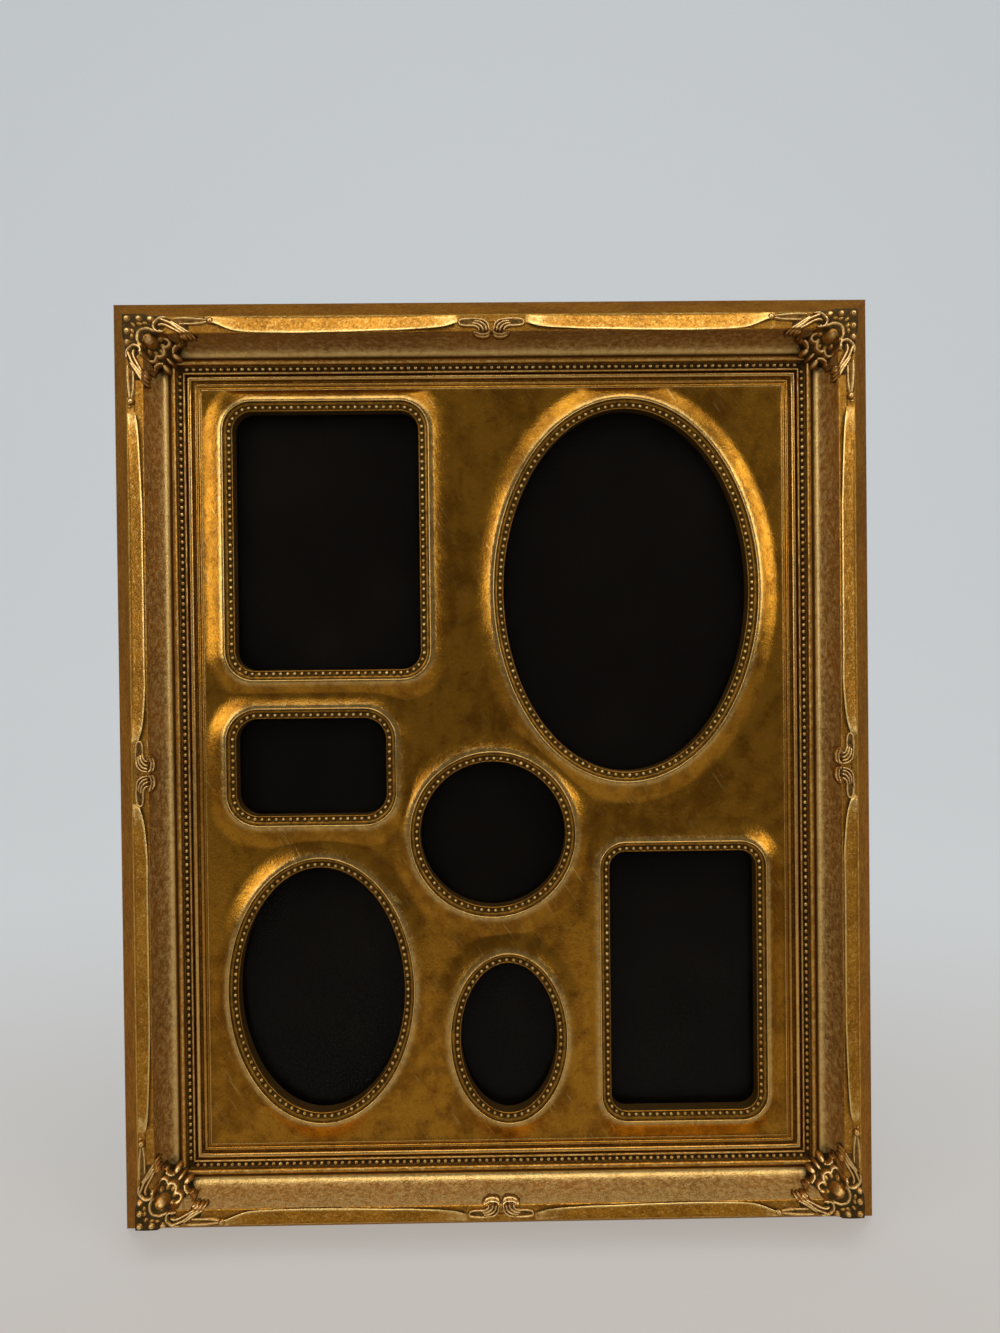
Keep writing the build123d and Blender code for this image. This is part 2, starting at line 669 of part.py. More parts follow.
def sprig():
    """Right-hand sprig of a centre ornament: stem, fanned ribs and curl.

    Across is measured inwards from the face's outer line, so the sprig's plan grows
    towards the opening as Y grows; the caller turns it over.
    """
    low = FACE_RISE - EMBED
    top = FACE_RISE + SPRIG_RISE
    stem = tapered_bar(
        (SPRIG_STEM_START, SPRIG_STEM_ACROSS),
        (SPRIG_STEM_END, SPRIG_STEM_ACROSS),
        (SPRIG_STEM_WIDTH, SPRIG_STEM_WIDTH),
        (low, low),
        (top, top),
    )
    ribs = []
    foot = FACE_RISE - SPRIG_FOOT_DROP
    for index in range(SPRIG_RIB_COUNT):
        tip = SPRIG_INNER_TIP + SPRIG_TIP_STEP * index
        ribs.append(
            tapered_bar(
                (SPRIG_ROOT_ALONG - SPRIG_RIB_WIDTH + tip / 2, SPRIG_ROOT_ACROSS),
                (tip + SPRIG_RIB_WIDTH / 2, SPRIG_TIP_ACROSS),
                (SPRIG_RIB_WIDTH * 2, SPRIG_RIB_WIDTH * 2),
                (foot, foot),
                (top + SPRIG_RIB_RISE, FACE_RISE),
            )
        )
    curl = tapered_bar(
        (SPRIG_INNER_TIP / 2, SPRIG_TIP_ACROSS),
        (SPRIG_INNER_TIP + SPRIG_TIP_STEP * SPRIG_RIB_COUNT, SPRIG_TIP_ACROSS - SPRIG_CURL_WIDTH),
        (SPRIG_CURL_WIDTH * 2, SPRIG_CURL_WIDTH),
        (foot, foot),
        (FACE_RISE + SPRIG_RIB_RISE, FACE_RISE + SPRIG_RIB_RISE),
    )
    return [stem, curl] + ribs


def centre_ornament(across, top_rail):
    """Pair of sprigs on the middle of the top rail, cut to seat on it."""
    half = sprig()
    one = half[0] + half[1:]
    low = FACE_RISE - EMBED
    bridge = Pos(0, SPRIG_TIP_ACROSS / 2 + SPRIG_ROOT_ACROSS / 2, low) * extrude(
        Rectangle(2 * SPRIG_ROOT_ALONG, SPRIG_TIP_ACROSS - SPRIG_ROOT_ACROSS), SPRIG_RISE + EMBED
    )
    pair = bridge + one + mirror(one, Plane.YZ)
    placed = Pos(0, across + FACE_EDGE, 0) * mirror(pair, Plane.XZ)
    return placed - top_rail


def v_nails():
    """Four pressed V nails, one across the back of each mitre."""
    wing = Pos(V_NAIL_WIDTH / 4, 0) * Rectangle(V_NAIL_WIDTH / 2, V_NAIL_THICKNESS)
    vee = Rot(0, 0, V_NAIL_ANGLE / 2) * wing + Rot(0, 0, 180 - V_NAIL_ANGLE / 2) * wing
    nail = Pos(0, 0, -RAIL_BACK) * extrude(vee, V_NAIL_DEPTH)
    place = Pos(SIGHT_WIDTH / 2 + V_NAIL_REACH, SIGHT_HEIGHT / 2 + V_NAIL_REACH, 0)
    return list(four_ways(place * Rot(0, 0, -45) * nail).values())


def button_places():
    """Where each turn button's pivot is, and the way its tip points, as (x, y, turn)."""
    up = SIGHT_HEIGHT / 2 + BUTTON_PIVOT
    spread = SIGHT_WIDTH * BUTTON_SPREAD_SHARE
    return ((-spread, up, -90), (spread, up, -90), (spread, -up, 90), (-spread, -up, 90))


def turn_button():
    """Flat pressed button with a round tail, pivoting at the origin, tip along +X."""
    tip = BUTTON_LENGTH - BUTTON_TAIL
    arm = Polygon(
        (0, -BUTTON_TAIL),
        (tip - BUTTON_TIP_WIDTH / 4, -BUTTON_TIP_WIDTH / 2),
        (tip, -BUTTON_TIP_WIDTH / 4),
        (tip, BUTTON_TIP_WIDTH / 4),
        (tip - BUTTON_TIP_WIDTH / 4, BUTTON_TIP_WIDTH / 2),
        (0, BUTTON_TAIL),
        align=None,
    )
    tail = RegularPolygon(BUTTON_TAIL, HEAD_FACETS)
    plan = tail + arm - Circle(SCREW_RADIUS + BUTTON_HOLE_CLEARANCE)
    top = -RAIL_BACK - BUTTON_GAP
    return Pos(0, 0, top - BUTTON_THICKNESS) * extrude(plan, BUTTON_THICKNESS)


def screw(head_radius, head_rise, seat_depth, shank_depth):
    """Pan head screw on the Z axis, whose head's underside lies at seat_depth."""
    cap = RegularPolygon(head_radius, HEAD_FACETS)
    head = Pos(0, 0, -seat_depth - head_rise) * extrude(cap, head_rise)
    shank = Pos(0, 0, -seat_depth) * extrude(RegularPolygon(SCREW_RADIUS, FACETS), shank_depth)
    return head + shank


def button_screws():
    """Screws of the turn buttons, as separate solids."""
    seat = RAIL_BACK + BUTTON_THICKNESS + 2 * BUTTON_GAP
    one = screw(SCREW_HEAD_RADIUS, SCREW_HEAD_RISE, seat, SCREW_DEPTH)
    return [Pos(x, y, 0) * one for x, y, turn in button_places()]


def hanger_strap():
    """Folded strap with the knuckle that holds the ring; its axis is along X at zero."""
    bore = RING_WIRE / 2 + RING_CLEARANCE
    knuckle_radius = bore + KNUCKLE_WALL
    face = -RAIL_BACK + RING_AXIS_DEPTH
    tube = extrude(Plane.YZ * Circle(knuckle_radius), STRAP_WIDTH / 2, both=True)
    plate = Pos(0, -STRAP_LENGTH / 2, face - STRAP_THICKNESS / 2) * Box(
        STRAP_WIDTH, STRAP_LENGTH, STRAP_THICKNESS
    )
    hole = extrude(Plane.YZ * Circle(bore), STRAP_WIDTH, both=True)
    return tube + plate - hole


def hanger_screw():
    """Screw through the strap, below the ring's axis."""
    seat = STRAP_THICKNESS - (RING_AXIS_DEPTH - RAIL_BACK)
    return Pos(0, -STRAP_SCREW_DROP, 0) * screw(
        HANGER_SCREW_HEAD_RADIUS, HANGER_SCREW_HEAD_RISE, seat, SCREW_DEPTH
    )


def hanger_ring():
    """Bent wire ring in the plane of the strap: its upper bar lies on the axis at zero."""
    half = RING_WIDTH / 2
    bend = RING_CORNER
    path = Polyline(
        (-half + bend, 0),
        (half - bend, 0),
        (half, -bend),
        (half, -RING_DROP + bend),
        (half - bend, -RING_DROP),
        (-half + bend, -RING_DROP),
        (-half, -RING_DROP + bend),
        (-half, -bend),
        close=True,
    ).wire()
    section = Plane.YZ * RegularPolygon(RING_WIRE / 2, RING_FACETS)
    return sweep(section, path, transition=Transition.RIGHT)


def hanger_place(side):
    """Place of a ring's axis on the left (-1) or right (1) rail."""
    return Pos(side * (SIGHT_WIDTH / 2 + HANGER_ACROSS), HANGER_UP, -RING_AXIS_DEPTH)


def knuckle(centre, length):
    """Plain barrel of the hinge, along X at zero."""
    return Pos(centre, 0, 0) * extrude(Plane.YZ * Circle(KNUCKLE_RADIUS), length / 2, both=True)


def leaf_plate(notch_width):
    """Upper hinge leaf against the board: Y up from the axis, with a gap for a knuckle."""
    depth = HINGE_DEPTH - BOARD_BACK
    plate = RectangleRounded(HINGE_WIDTH, 2 * LEAF_HEIGHT, LEAF_CORNER)
    upper = plate & Pos(0, LEAF_HEIGHT / 2) * Rectangle(HINGE_WIDTH, LEAF_HEIGHT)
    gap = Pos(0, 0) * Rectangle(notch_width, 2 * (KNUCKLE_RADIUS + LEAF_CLEAR))
    return Pos(0, 0, depth - LEAF_THICKNESS) * extrude(upper - gap, LEAF_THICKNESS)


def hinge_bore():
    """Drill along the hinge axis."""
    return extrude(Plane.YZ * Circle(PIN_RADIUS + PIN_CLEARANCE), HINGE_WIDTH, both=True)


def rivet_places(up):
    """Two rivet places in a row at a distance from the axis."""
    return [(-RIVET_SPREAD / 2, up), (RIVET_SPREAD / 2, up)]


def board_leaf():
    """Hinge leaf riveted to the board, with the two outer knuckles."""
    offset = CENTRE_KNUCKLE / 2 + KNUCKLE_GAP + OUTER_KNUCKLE / 2
    gap = CENTRE_KNUCKLE + 2 * KNUCKLE_GAP
    leaf = leaf_plate(gap) + knuckle(-offset, OUTER_KNUCKLE) + knuckle(offset, OUTER_KNUCKLE)
    return leaf - hinge_bore()


def board_rivets():
    """Rivets of the board's leaf, with their heads on the leaf."""
    seat = BOARD_BACK + LEAF_THICKNESS - HINGE_DEPTH
    length = LEAF_THICKNESS + BOARD_THICKNESS - RIVET_SKIN
    return [Pos(x, y, 0) * rivet(seat, length) for x, y in rivet_places(RIVET_ROW)]


def rivet(seat, length):
    """Rivet on the Z axis whose head lies behind seat, a depth behind the axis plane."""
    cap = RegularPolygon(RIVET_HEAD_RADIUS, HEAD_FACETS)
    head = Pos(0, 0, -seat - RIVET_HEAD_RISE) * extrude(cap, RIVET_HEAD_RISE)
    return head + Pos(0, 0, -seat) * extrude(RegularPolygon(RIVET_RADIUS, FACETS), length)


def folded_leg():
    """Easel leg as it lies when folded: Y up from the hinge axis, Z towards the board."""
    front = HINGE_DEPTH - BOARD_BACK - LEG_BOARD_GAP
    top = -LEG_TOP_GAP
    foot = -HINGE_HEIGHT - OVERRUN
    plan = Polygon(
        (-LEG_FOOT_WIDTH / 2, foot),
        (LEG_FOOT_WIDTH / 2, foot),
        (LEG_TOP_WIDTH / 2, top),
        (-LEG_TOP_WIDTH / 2, top),
        align=None,
    )
    plan = fillet(plan.vertices().group_by(Axis.Y)[-1], LEG_TOP_CORNER)
    return Pos(0, 0, front - LEG_THICKNESS) * extrude(plan, LEG_THICKNESS)


def folded_leg_leaf():
    """Leaf on the back of the leg with the centre knuckle, as it lies when folded."""
    back = HINGE_DEPTH - BOARD_BACK - LEG_BOARD_GAP - LEG_THICKNESS
    plate = RectangleRounded(HINGE_WIDTH, 2 * LEAF_HEIGHT, LEAF_CORNER)
    lower = plate & Pos(0, -LEAF_HEIGHT / 2) * Rectangle(HINGE_WIDTH, LEAF_HEIGHT)
    side = (HINGE_WIDTH - CENTRE_KNUCKLE) / 2
    for way in (-1, 1):
        lower = lower - Pos(way * (HINGE_WIDTH - side) / 2, 0) * Rectangle(
            side, 2 * (KNUCKLE_RADIUS + LEAF_CLEAR)
        )
    plate = Pos(0, 0, back - LEAF_THICKNESS) * extrude(lower, LEAF_THICKNESS)
    return plate + knuckle(0, CENTRE_KNUCKLE)


def folded_leg_rivets():
    """Rivets of the leg's leaf, as they lie when folded."""
    seat = LEG_THICKNESS + LEG_BOARD_GAP + LEAF_THICKNESS - (HINGE_DEPTH - BOARD_BACK)
    length = LEAF_THICKNESS + LEG_THICKNESS - RIVET_SKIN
    return [Pos(x, y, 0) * rivet(seat, length) for x, y in rivet_places(-RIVET_ROW)]


def stop_lug():
    """Lug on the centre knuckle that meets the board's leaf when the leg is open."""
    face = HINGE_DEPTH - BOARD_BACK - LEAF_THICKNESS - SEAT_GAP
    return Pos(0, STOP_LENGTH / 2, face - STOP_THICKNESS / 2) * Box(
        STOP_WIDTH, STOP_LENGTH, STOP_THICKNESS
    )


def hinge_pin():
    """Pin through all three knuckles, with a head at each end."""
    reach = HINGE_WIDTH / 2 + PIN_HEAD_LENGTH
    shaft = extrude(Plane.YZ * Circle(PIN_RADIUS), reach, both=True)
    heads = [
        Pos(way * (reach - PIN_HEAD_LENGTH / 2), 0, 0)
        * extrude(Plane.YZ * RegularPolygon(PIN_HEAD_RADIUS, FACETS), PIN_HEAD_LENGTH / 2, both=True)
        for way in (-1, 1)
    ]
    return shaft + heads


def cut_at_table(shape):
    """Trim what would stand below the table when the frame is on its easel."""
    below = Pos(0, 0, -TABLE_REACH / 2) * Box(TABLE_REACH, TABLE_REACH, TABLE_REACH)
    return shape - STAND.inverse() * below


def drilled(solid, tools):
    """A solid with tools cut out of it."""
    return solid - tools


def build():
    """Every node of the frame, face up, by name."""
    nodes = {}
    nails = v_nails()
    screws = button_screws()
    hangers = {"left": hanger_place(-1), "right": hanger_place(1)}
    strap_screws = [place * hanger_screw() for place in hangers.values()]
    fasteners = nails + screws + strap_screws

    top_sizes = (SIGHT_WIDTH, SIGHT_HEIGHT / 2)
    side_sizes = (SIGHT_HEIGHT, SIGHT_WIDTH / 2)
    rails = four_sides(rail(*top_sizes), rail(*side_sizes))
    slips = four_sides(
        mitred_bar(slip_section(), *top_sizes), mitred_bar(slip_section(), *side_sizes)
    )
    strips = four_sides(pearl_strip(*top_sizes), pearl_strip(*side_sizes))
    centres = four_sides(
        centre_ornament(SIGHT_HEIGHT / 2, rails["top"]),
        centre_ornament(SIGHT_WIDTH / 2, Rot(0, 0, 90) * rails["right"]),
    )
    seat = [solids[side] for solids in (rails, slips, strips) for side in ("top", "right")]
    for side, solid in rails.items():
        nodes[f"{side}_rail"] = drilled(solid, fasteners)
        nodes[f"{side}_slip"] = slips[side]
        nodes[f"{side}_pearl_strip"] = strips[side]
        nodes[f"centre_ornament_{side}"] = centres[side]
    for name, solid in four_ways(corner_ornament(seat)).items():
        nodes[f"corner_ornament_{name}"] = solid

    nodes["collage_mat"] = collage_mat()
    nodes["glass_pane"] = pane(GLASS_FRONT, GLASS_BACK)
    nodes["backing_card"] = pane(CARD_FRONT, CARD_BACK)

    hinge = Pos(0, HINGE_UP, -HINGE_DEPTH)
    fixed_rivets = [hinge * one for one in board_rivets()]
    nodes["backboard"] = drilled(pane(BOARD_FRONT, BOARD_BACK), fixed_rivets)
    nodes["board_hinge_leaf"] = drilled(hinge * board_leaf(), fixed_rivets)
    nodes["board_hinge_rivets"] = Compound(children=fixed_rivets)
    nodes["hinge_pin"] = hinge * hinge_pin()

    swing = hinge * Rot(LEG_OPENING, 0, 0)
    leg_rivets = [swing * one for one in folded_leg_rivets()]
    nodes["easel_leg"] = cut_at_table(drilled(swing * folded_leg(), leg_rivets))
    leg_leaf = swing * folded_leg_leaf() + hinge * stop_lug() - hinge * hinge_bore()
    nodes["leg_hinge_leaf"] = drilled(leg_leaf, leg_rivets)
    nodes["leg_hinge_rivets"] = Compound(children=leg_rivets)

    for number, (x, y, turn) in enumerate(button_places(), start=1):
        nodes[f"turn_button_{number}"] = Pos(x, y, 0) * Rot(0, 0, turn) * turn_button()
    nodes["turn_button_screws"] = Compound(children=screws)

    hang = Rot(LEAN, 0, 0)
    for name, place in hangers.items():
        nodes[f"hanger_strap_{name}"] = drilled(place * hanger_strap(), strap_screws)
        nodes[f"hanger_ring_{name}"] = place * hang * hanger_ring()
    nodes["hanger_screws"] = Compound(children=strap_screws)
    nodes["corner_nails"] = Compound(children=nails)
    return nodes


def print_axis(name, point, direction):
    """Print a standing joint's place and direction, in metres."""
    tail = STAND * Pos(*point)
    ahead = STAND * Pos(*(p + d for p, d in zip(point, direction)))
    way = ahead.position - tail.position
    spot = [round(value / 1000, 6) for value in tail.position]
    print(name, spot, [round(value, 6) for value in way])


def main():
    """Write one STEP file for each node and print where the joints are."""
    os.makedirs("parts", exist_ok=True)
    for name, solid in build().items():
        export_step(STAND * solid, f"parts/{name}.step")
    print_axis("leg_hinge", (0, HINGE_UP, -HINGE_DEPTH), (1, 0, 0))
    for number, (x, y, turn) in enumerate(button_places(), start=1):
        print_axis(f"turn_button_{number}", (x, y, -RAIL_BACK), (0, 0, -1))
    for name, side in (("left", -1), ("right", 1)):
        print_axis(f"ring_{name}", hanger_place(side).position, (1, 0, 0))


main()
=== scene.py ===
import logging
from abc import ABC, abstractmethod
from dataclasses import dataclass, field
from enum import Enum
from functools import partial
from math import cos, pi, radians, sin
from typing import Callable, Sequence, Union

import bmesh
import bpy
import numpy as np
from mathutils import Matrix, Vector


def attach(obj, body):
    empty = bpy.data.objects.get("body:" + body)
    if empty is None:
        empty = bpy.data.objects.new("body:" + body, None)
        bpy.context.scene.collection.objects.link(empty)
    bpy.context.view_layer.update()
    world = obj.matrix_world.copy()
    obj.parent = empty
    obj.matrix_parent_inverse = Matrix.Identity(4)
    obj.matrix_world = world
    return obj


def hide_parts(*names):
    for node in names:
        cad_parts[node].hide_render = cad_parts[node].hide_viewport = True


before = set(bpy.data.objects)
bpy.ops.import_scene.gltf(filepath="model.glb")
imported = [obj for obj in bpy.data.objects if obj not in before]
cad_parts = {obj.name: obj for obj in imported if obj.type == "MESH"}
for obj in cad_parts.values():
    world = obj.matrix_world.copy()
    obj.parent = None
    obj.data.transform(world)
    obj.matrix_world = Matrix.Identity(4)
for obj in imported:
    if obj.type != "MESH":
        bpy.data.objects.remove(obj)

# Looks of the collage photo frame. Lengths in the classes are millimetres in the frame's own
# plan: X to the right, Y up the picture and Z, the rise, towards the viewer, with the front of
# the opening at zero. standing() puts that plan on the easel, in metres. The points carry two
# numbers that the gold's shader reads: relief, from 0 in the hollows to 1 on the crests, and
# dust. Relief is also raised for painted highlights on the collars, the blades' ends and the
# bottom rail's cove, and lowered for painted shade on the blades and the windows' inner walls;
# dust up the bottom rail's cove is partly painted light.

logging.basicConfig(level=logging.INFO, format="%(levelname)s %(message)s")
log = logging.getLogger("collage_frame")

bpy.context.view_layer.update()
MM = 0.001
LEAN = 10.0
SIGHT_WIDTH = 266.7
SIGHT_HEIGHT = 342.9
RAIL_WIDTH = 32.0
RAIL_BACK = 12.5
STANCE_SHIFT = -26.0424
SMOOTH_ANGLE = 38.0
WELD_GAP = 0.001

Array = np.ndarray
Number = Union[float, "Value"]
Colour = tuple[float, float, float]
Band = tuple[float, float]
Row = Sequence[float]
Line = Sequence[Row]
Material = bpy.types.Material
Geometry = bmesh.types.BMesh


def standing() -> Matrix:
    """Matrix that stands the plan up on the easel.

    Returns:
        The matrix from the face-up plan in millimetres to the standing frame in metres.
    """
    edge = Matrix.Translation((0, SIGHT_HEIGHT / 2 + RAIL_WIDTH, RAIL_BACK))
    turn = Matrix.Rotation(radians(90 - LEAN), 4, "X")
    return Matrix.Scale(MM, 4) @ Matrix.Translation((0, STANCE_SHIFT, 0)) @ turn @ edge


class Side(Enum):
    """A rail, with the turn from the top rail to it."""

    TOP = 0
    LEFT = 90
    BOTTOM = 180
    RIGHT = 270

    @property
    def label(self) -> str:
        """Name of the rail as the CAD nodes use it."""
        return self.name.lower()

    @property
    def level(self) -> bool:
        """Whether the rail lies across the frame."""
        return self in (Side.TOP, Side.BOTTOM)

    @property
    def along(self) -> float:
        """Sight length of the rail."""
        return SIGHT_WIDTH if self.level else SIGHT_HEIGHT

    @property
    def across(self) -> float:
        """Distance from the frame's middle to the rail's sight edge."""
        return (SIGHT_HEIGHT if self.level else SIGHT_WIDTH) / 2

    @property
    def patina(self) -> float:
        """Painted shade: how far the blade's face is darkened between its ends, most on the side rails, whose
        faces the lamps light less.
        """
        return {Side.TOP: 0.0, Side.BOTTOM: 0.04}.get(self, 0.12)

    def film(self, height: float) -> float:
        """Share of the cove's dust that lies on this rail, at a share of the cove's height; on the bottom rail
        it is cut at the foot and raised up the wall that the top lamp lights, partly painted light.
        """
        return 0.25 + 2.1 * height if self is Side.BOTTOM else 1.0

    def shine(self, height: float) -> float:
        """Painted highlight: how far the bottom rail's cove, which faces up to the top lamp, is brightened, at
        a share of its height.
        """
        return 0.25 * height if self is Side.BOTTOM else 0.0

    def turned(self, x: Array, y: Array) -> tuple[Array, Array]:
        """Turn plan places of the top rail to this rail."""
        c, s = round(cos(radians(self.value))), round(sin(radians(self.value)))
        return c * x - s * y, s * x + c * y


class Corner(Enum):
    """A corner, with the signs of X and Y."""

    TOP_RIGHT = (1, 1)
    TOP_LEFT = (-1, 1)
    BOTTOM_RIGHT = (1, -1)
    BOTTOM_LEFT = (-1, -1)

    @property
    def label(self) -> str:
        """Name of the corner as the CAD nodes use it."""
        return self.name.lower()

    def placed(self, x: Array, y: Array) -> tuple[Array, Array]:
        """Plan places at distances outwards from the sight corner."""
        return self.value[0] * (SIGHT_WIDTH / 2 + x), self.value[1] * (SIGHT_HEIGHT / 2 + y)


# Shader nodes


class Value:
    """A node's output, which adds Math nodes when an expression uses it."""

    def __init__(self, shader: "Shader", socket: bpy.types.NodeSocket) -> None:
        """Wrap a socket of a shader."""
        self.shader = shader
        self.socket = socket

    def __add__(self, other: Number) -> "Value":
        """Sum."""
        return self.shader.maths("ADD", self, other)

    def __sub__(self, other: Number) -> "Value":
        """Difference."""
        return self.shader.maths("SUBTRACT", self, other)

    def __rsub__(self, other: Number) -> "Value":
        """Difference from a number."""
        return self.shader.maths("SUBTRACT", other, self)

    def __mul__(self, other: Number) -> "Value":
        """Product."""
        return self.shader.maths("MULTIPLY", self, other)

    def __truediv__(self, other: Number) -> "Value":
        """Quotient."""
        return self.shader.maths("DIVIDE", self, other)

    def __pow__(self, other: Number) -> "Value":
        """Power."""
        return self.shader.maths("POWER", self, other)

    __radd__ = __add__
    __rmul__ = __mul__


class Shader:
    """One material under construction."""

    def __init__(self, name: str) -> None:
        """Start an empty material.

        Args:
            name: name of the material.
        """
        self.material = bpy.data.materials.new(name)
        self.material.use_nodes = True
        self.tree = self.material.node_tree
        self.tree.nodes.clear()

    def node(
        self,
        kind: str,
        settings: dict | None = None,
        inputs: dict | None = None,
        output: Union[int, str] = 0,
    ) -> Value:
        """Add a node.

        Args:
            kind: Blender's type name without ShaderNode.
            settings: attributes of the node.
            inputs: values or links, by socket name or number.
            output: the output to hand back.

        Returns:
            The wrapped output socket.
        """
        new = self.tree.nodes.new("ShaderNode" + kind)
        for key, value in (settings or {}).items():
            setattr(new, key, value)
        for key, value in (inputs or {}).items():
            if isinstance(value, Value):
                self.tree.links.new(value.socket, new.inputs[key])
            elif value is not None:
                plain = isinstance(value, tuple) and new.inputs[key].type == "RGBA"
                new.inputs[key].default_value = (*value, 1.0) if plain else value
        return Value(self, new.outputs[output])

    def maths(self, operation: str, *values: Number) -> Value:
        """A Math node on one to three values."""
        return self.node("Math", {"operation": operation}, dict(enumerate(values)))

    def spot(self) -> Value:
        """Object coordinates."""
        return self.node("TexCoord", output="Object")

    def place(self, scale: Row = (1, 1, 1), turn: Row = (0, 0, 0), kind: str = "POINT") -> Value:
        """Object coordinates, scaled and turned."""
        inputs = {"Vector": self.spot(), "Scale": scale, "Rotation": turn}
        return self.node("Mapping", {"vector_type": kind}, inputs)

    def noise(self, scale: float, detail: float, rough: float, spot: Value | None = None) -> Value:
        """Noise of a number of waves to the metre, from 0 to 1."""
        inputs = {"Vector": spot or self.place(), "Scale": scale, "Detail": detail, "Roughness": rough}
        return self.node("TexNoise", None, inputs)

    def step(self, value: Value, low: float, high: float) -> Value:
        """Smooth step of a value from 0 at low to 1 at high."""
        inputs = {"Value": value, "From Min": low, "From Max": high}
        return self.node("MapRange", {"interpolation_type": "SMOOTHSTEP"}, inputs)

    def mixed(self, share: Number, first: Union[Colour, Value], second: Union[Colour, Value]) -> Value:
        """Colour between two colours."""
        return self.node("Mix", {"data_type": "RGBA"}, {"Factor": share, 6: first, 7: second}, output=2)

    def attribute(self, name: str) -> Value:
        """A number that the mesh carries."""
        return self.node("Attribute", {"attribute_name": name}, output="Fac")

    def bump(self, height: Value, depth: float, strength: float) -> Value:
        """Bump of a height from 0 to 1 that stands for a depth in metres."""
        return self.node("Bump", None, {"Height": height, "Distance": depth, "Strength": strength})

    def surface(self, **inputs: Union[Number, tuple]) -> Material:
        """Close the material with a Principled shader; underscores stand for spaces."""
        named = {key.replace("_", " "): value for key, value in inputs.items()}
        return self.finished(self.node("BsdfPrincipled", None, named))

    def finished(self, shader: Value) -> Material:
        """Link the last shader to the material's output.

        Args:
            shader: output of the last shader node.

        Returns:
            The finished material.
        """
        end = self.tree.nodes.new("ShaderNodeOutputMaterial")
        self.tree.links.new(shader.socket, end.inputs["Surface"])
        return self.material


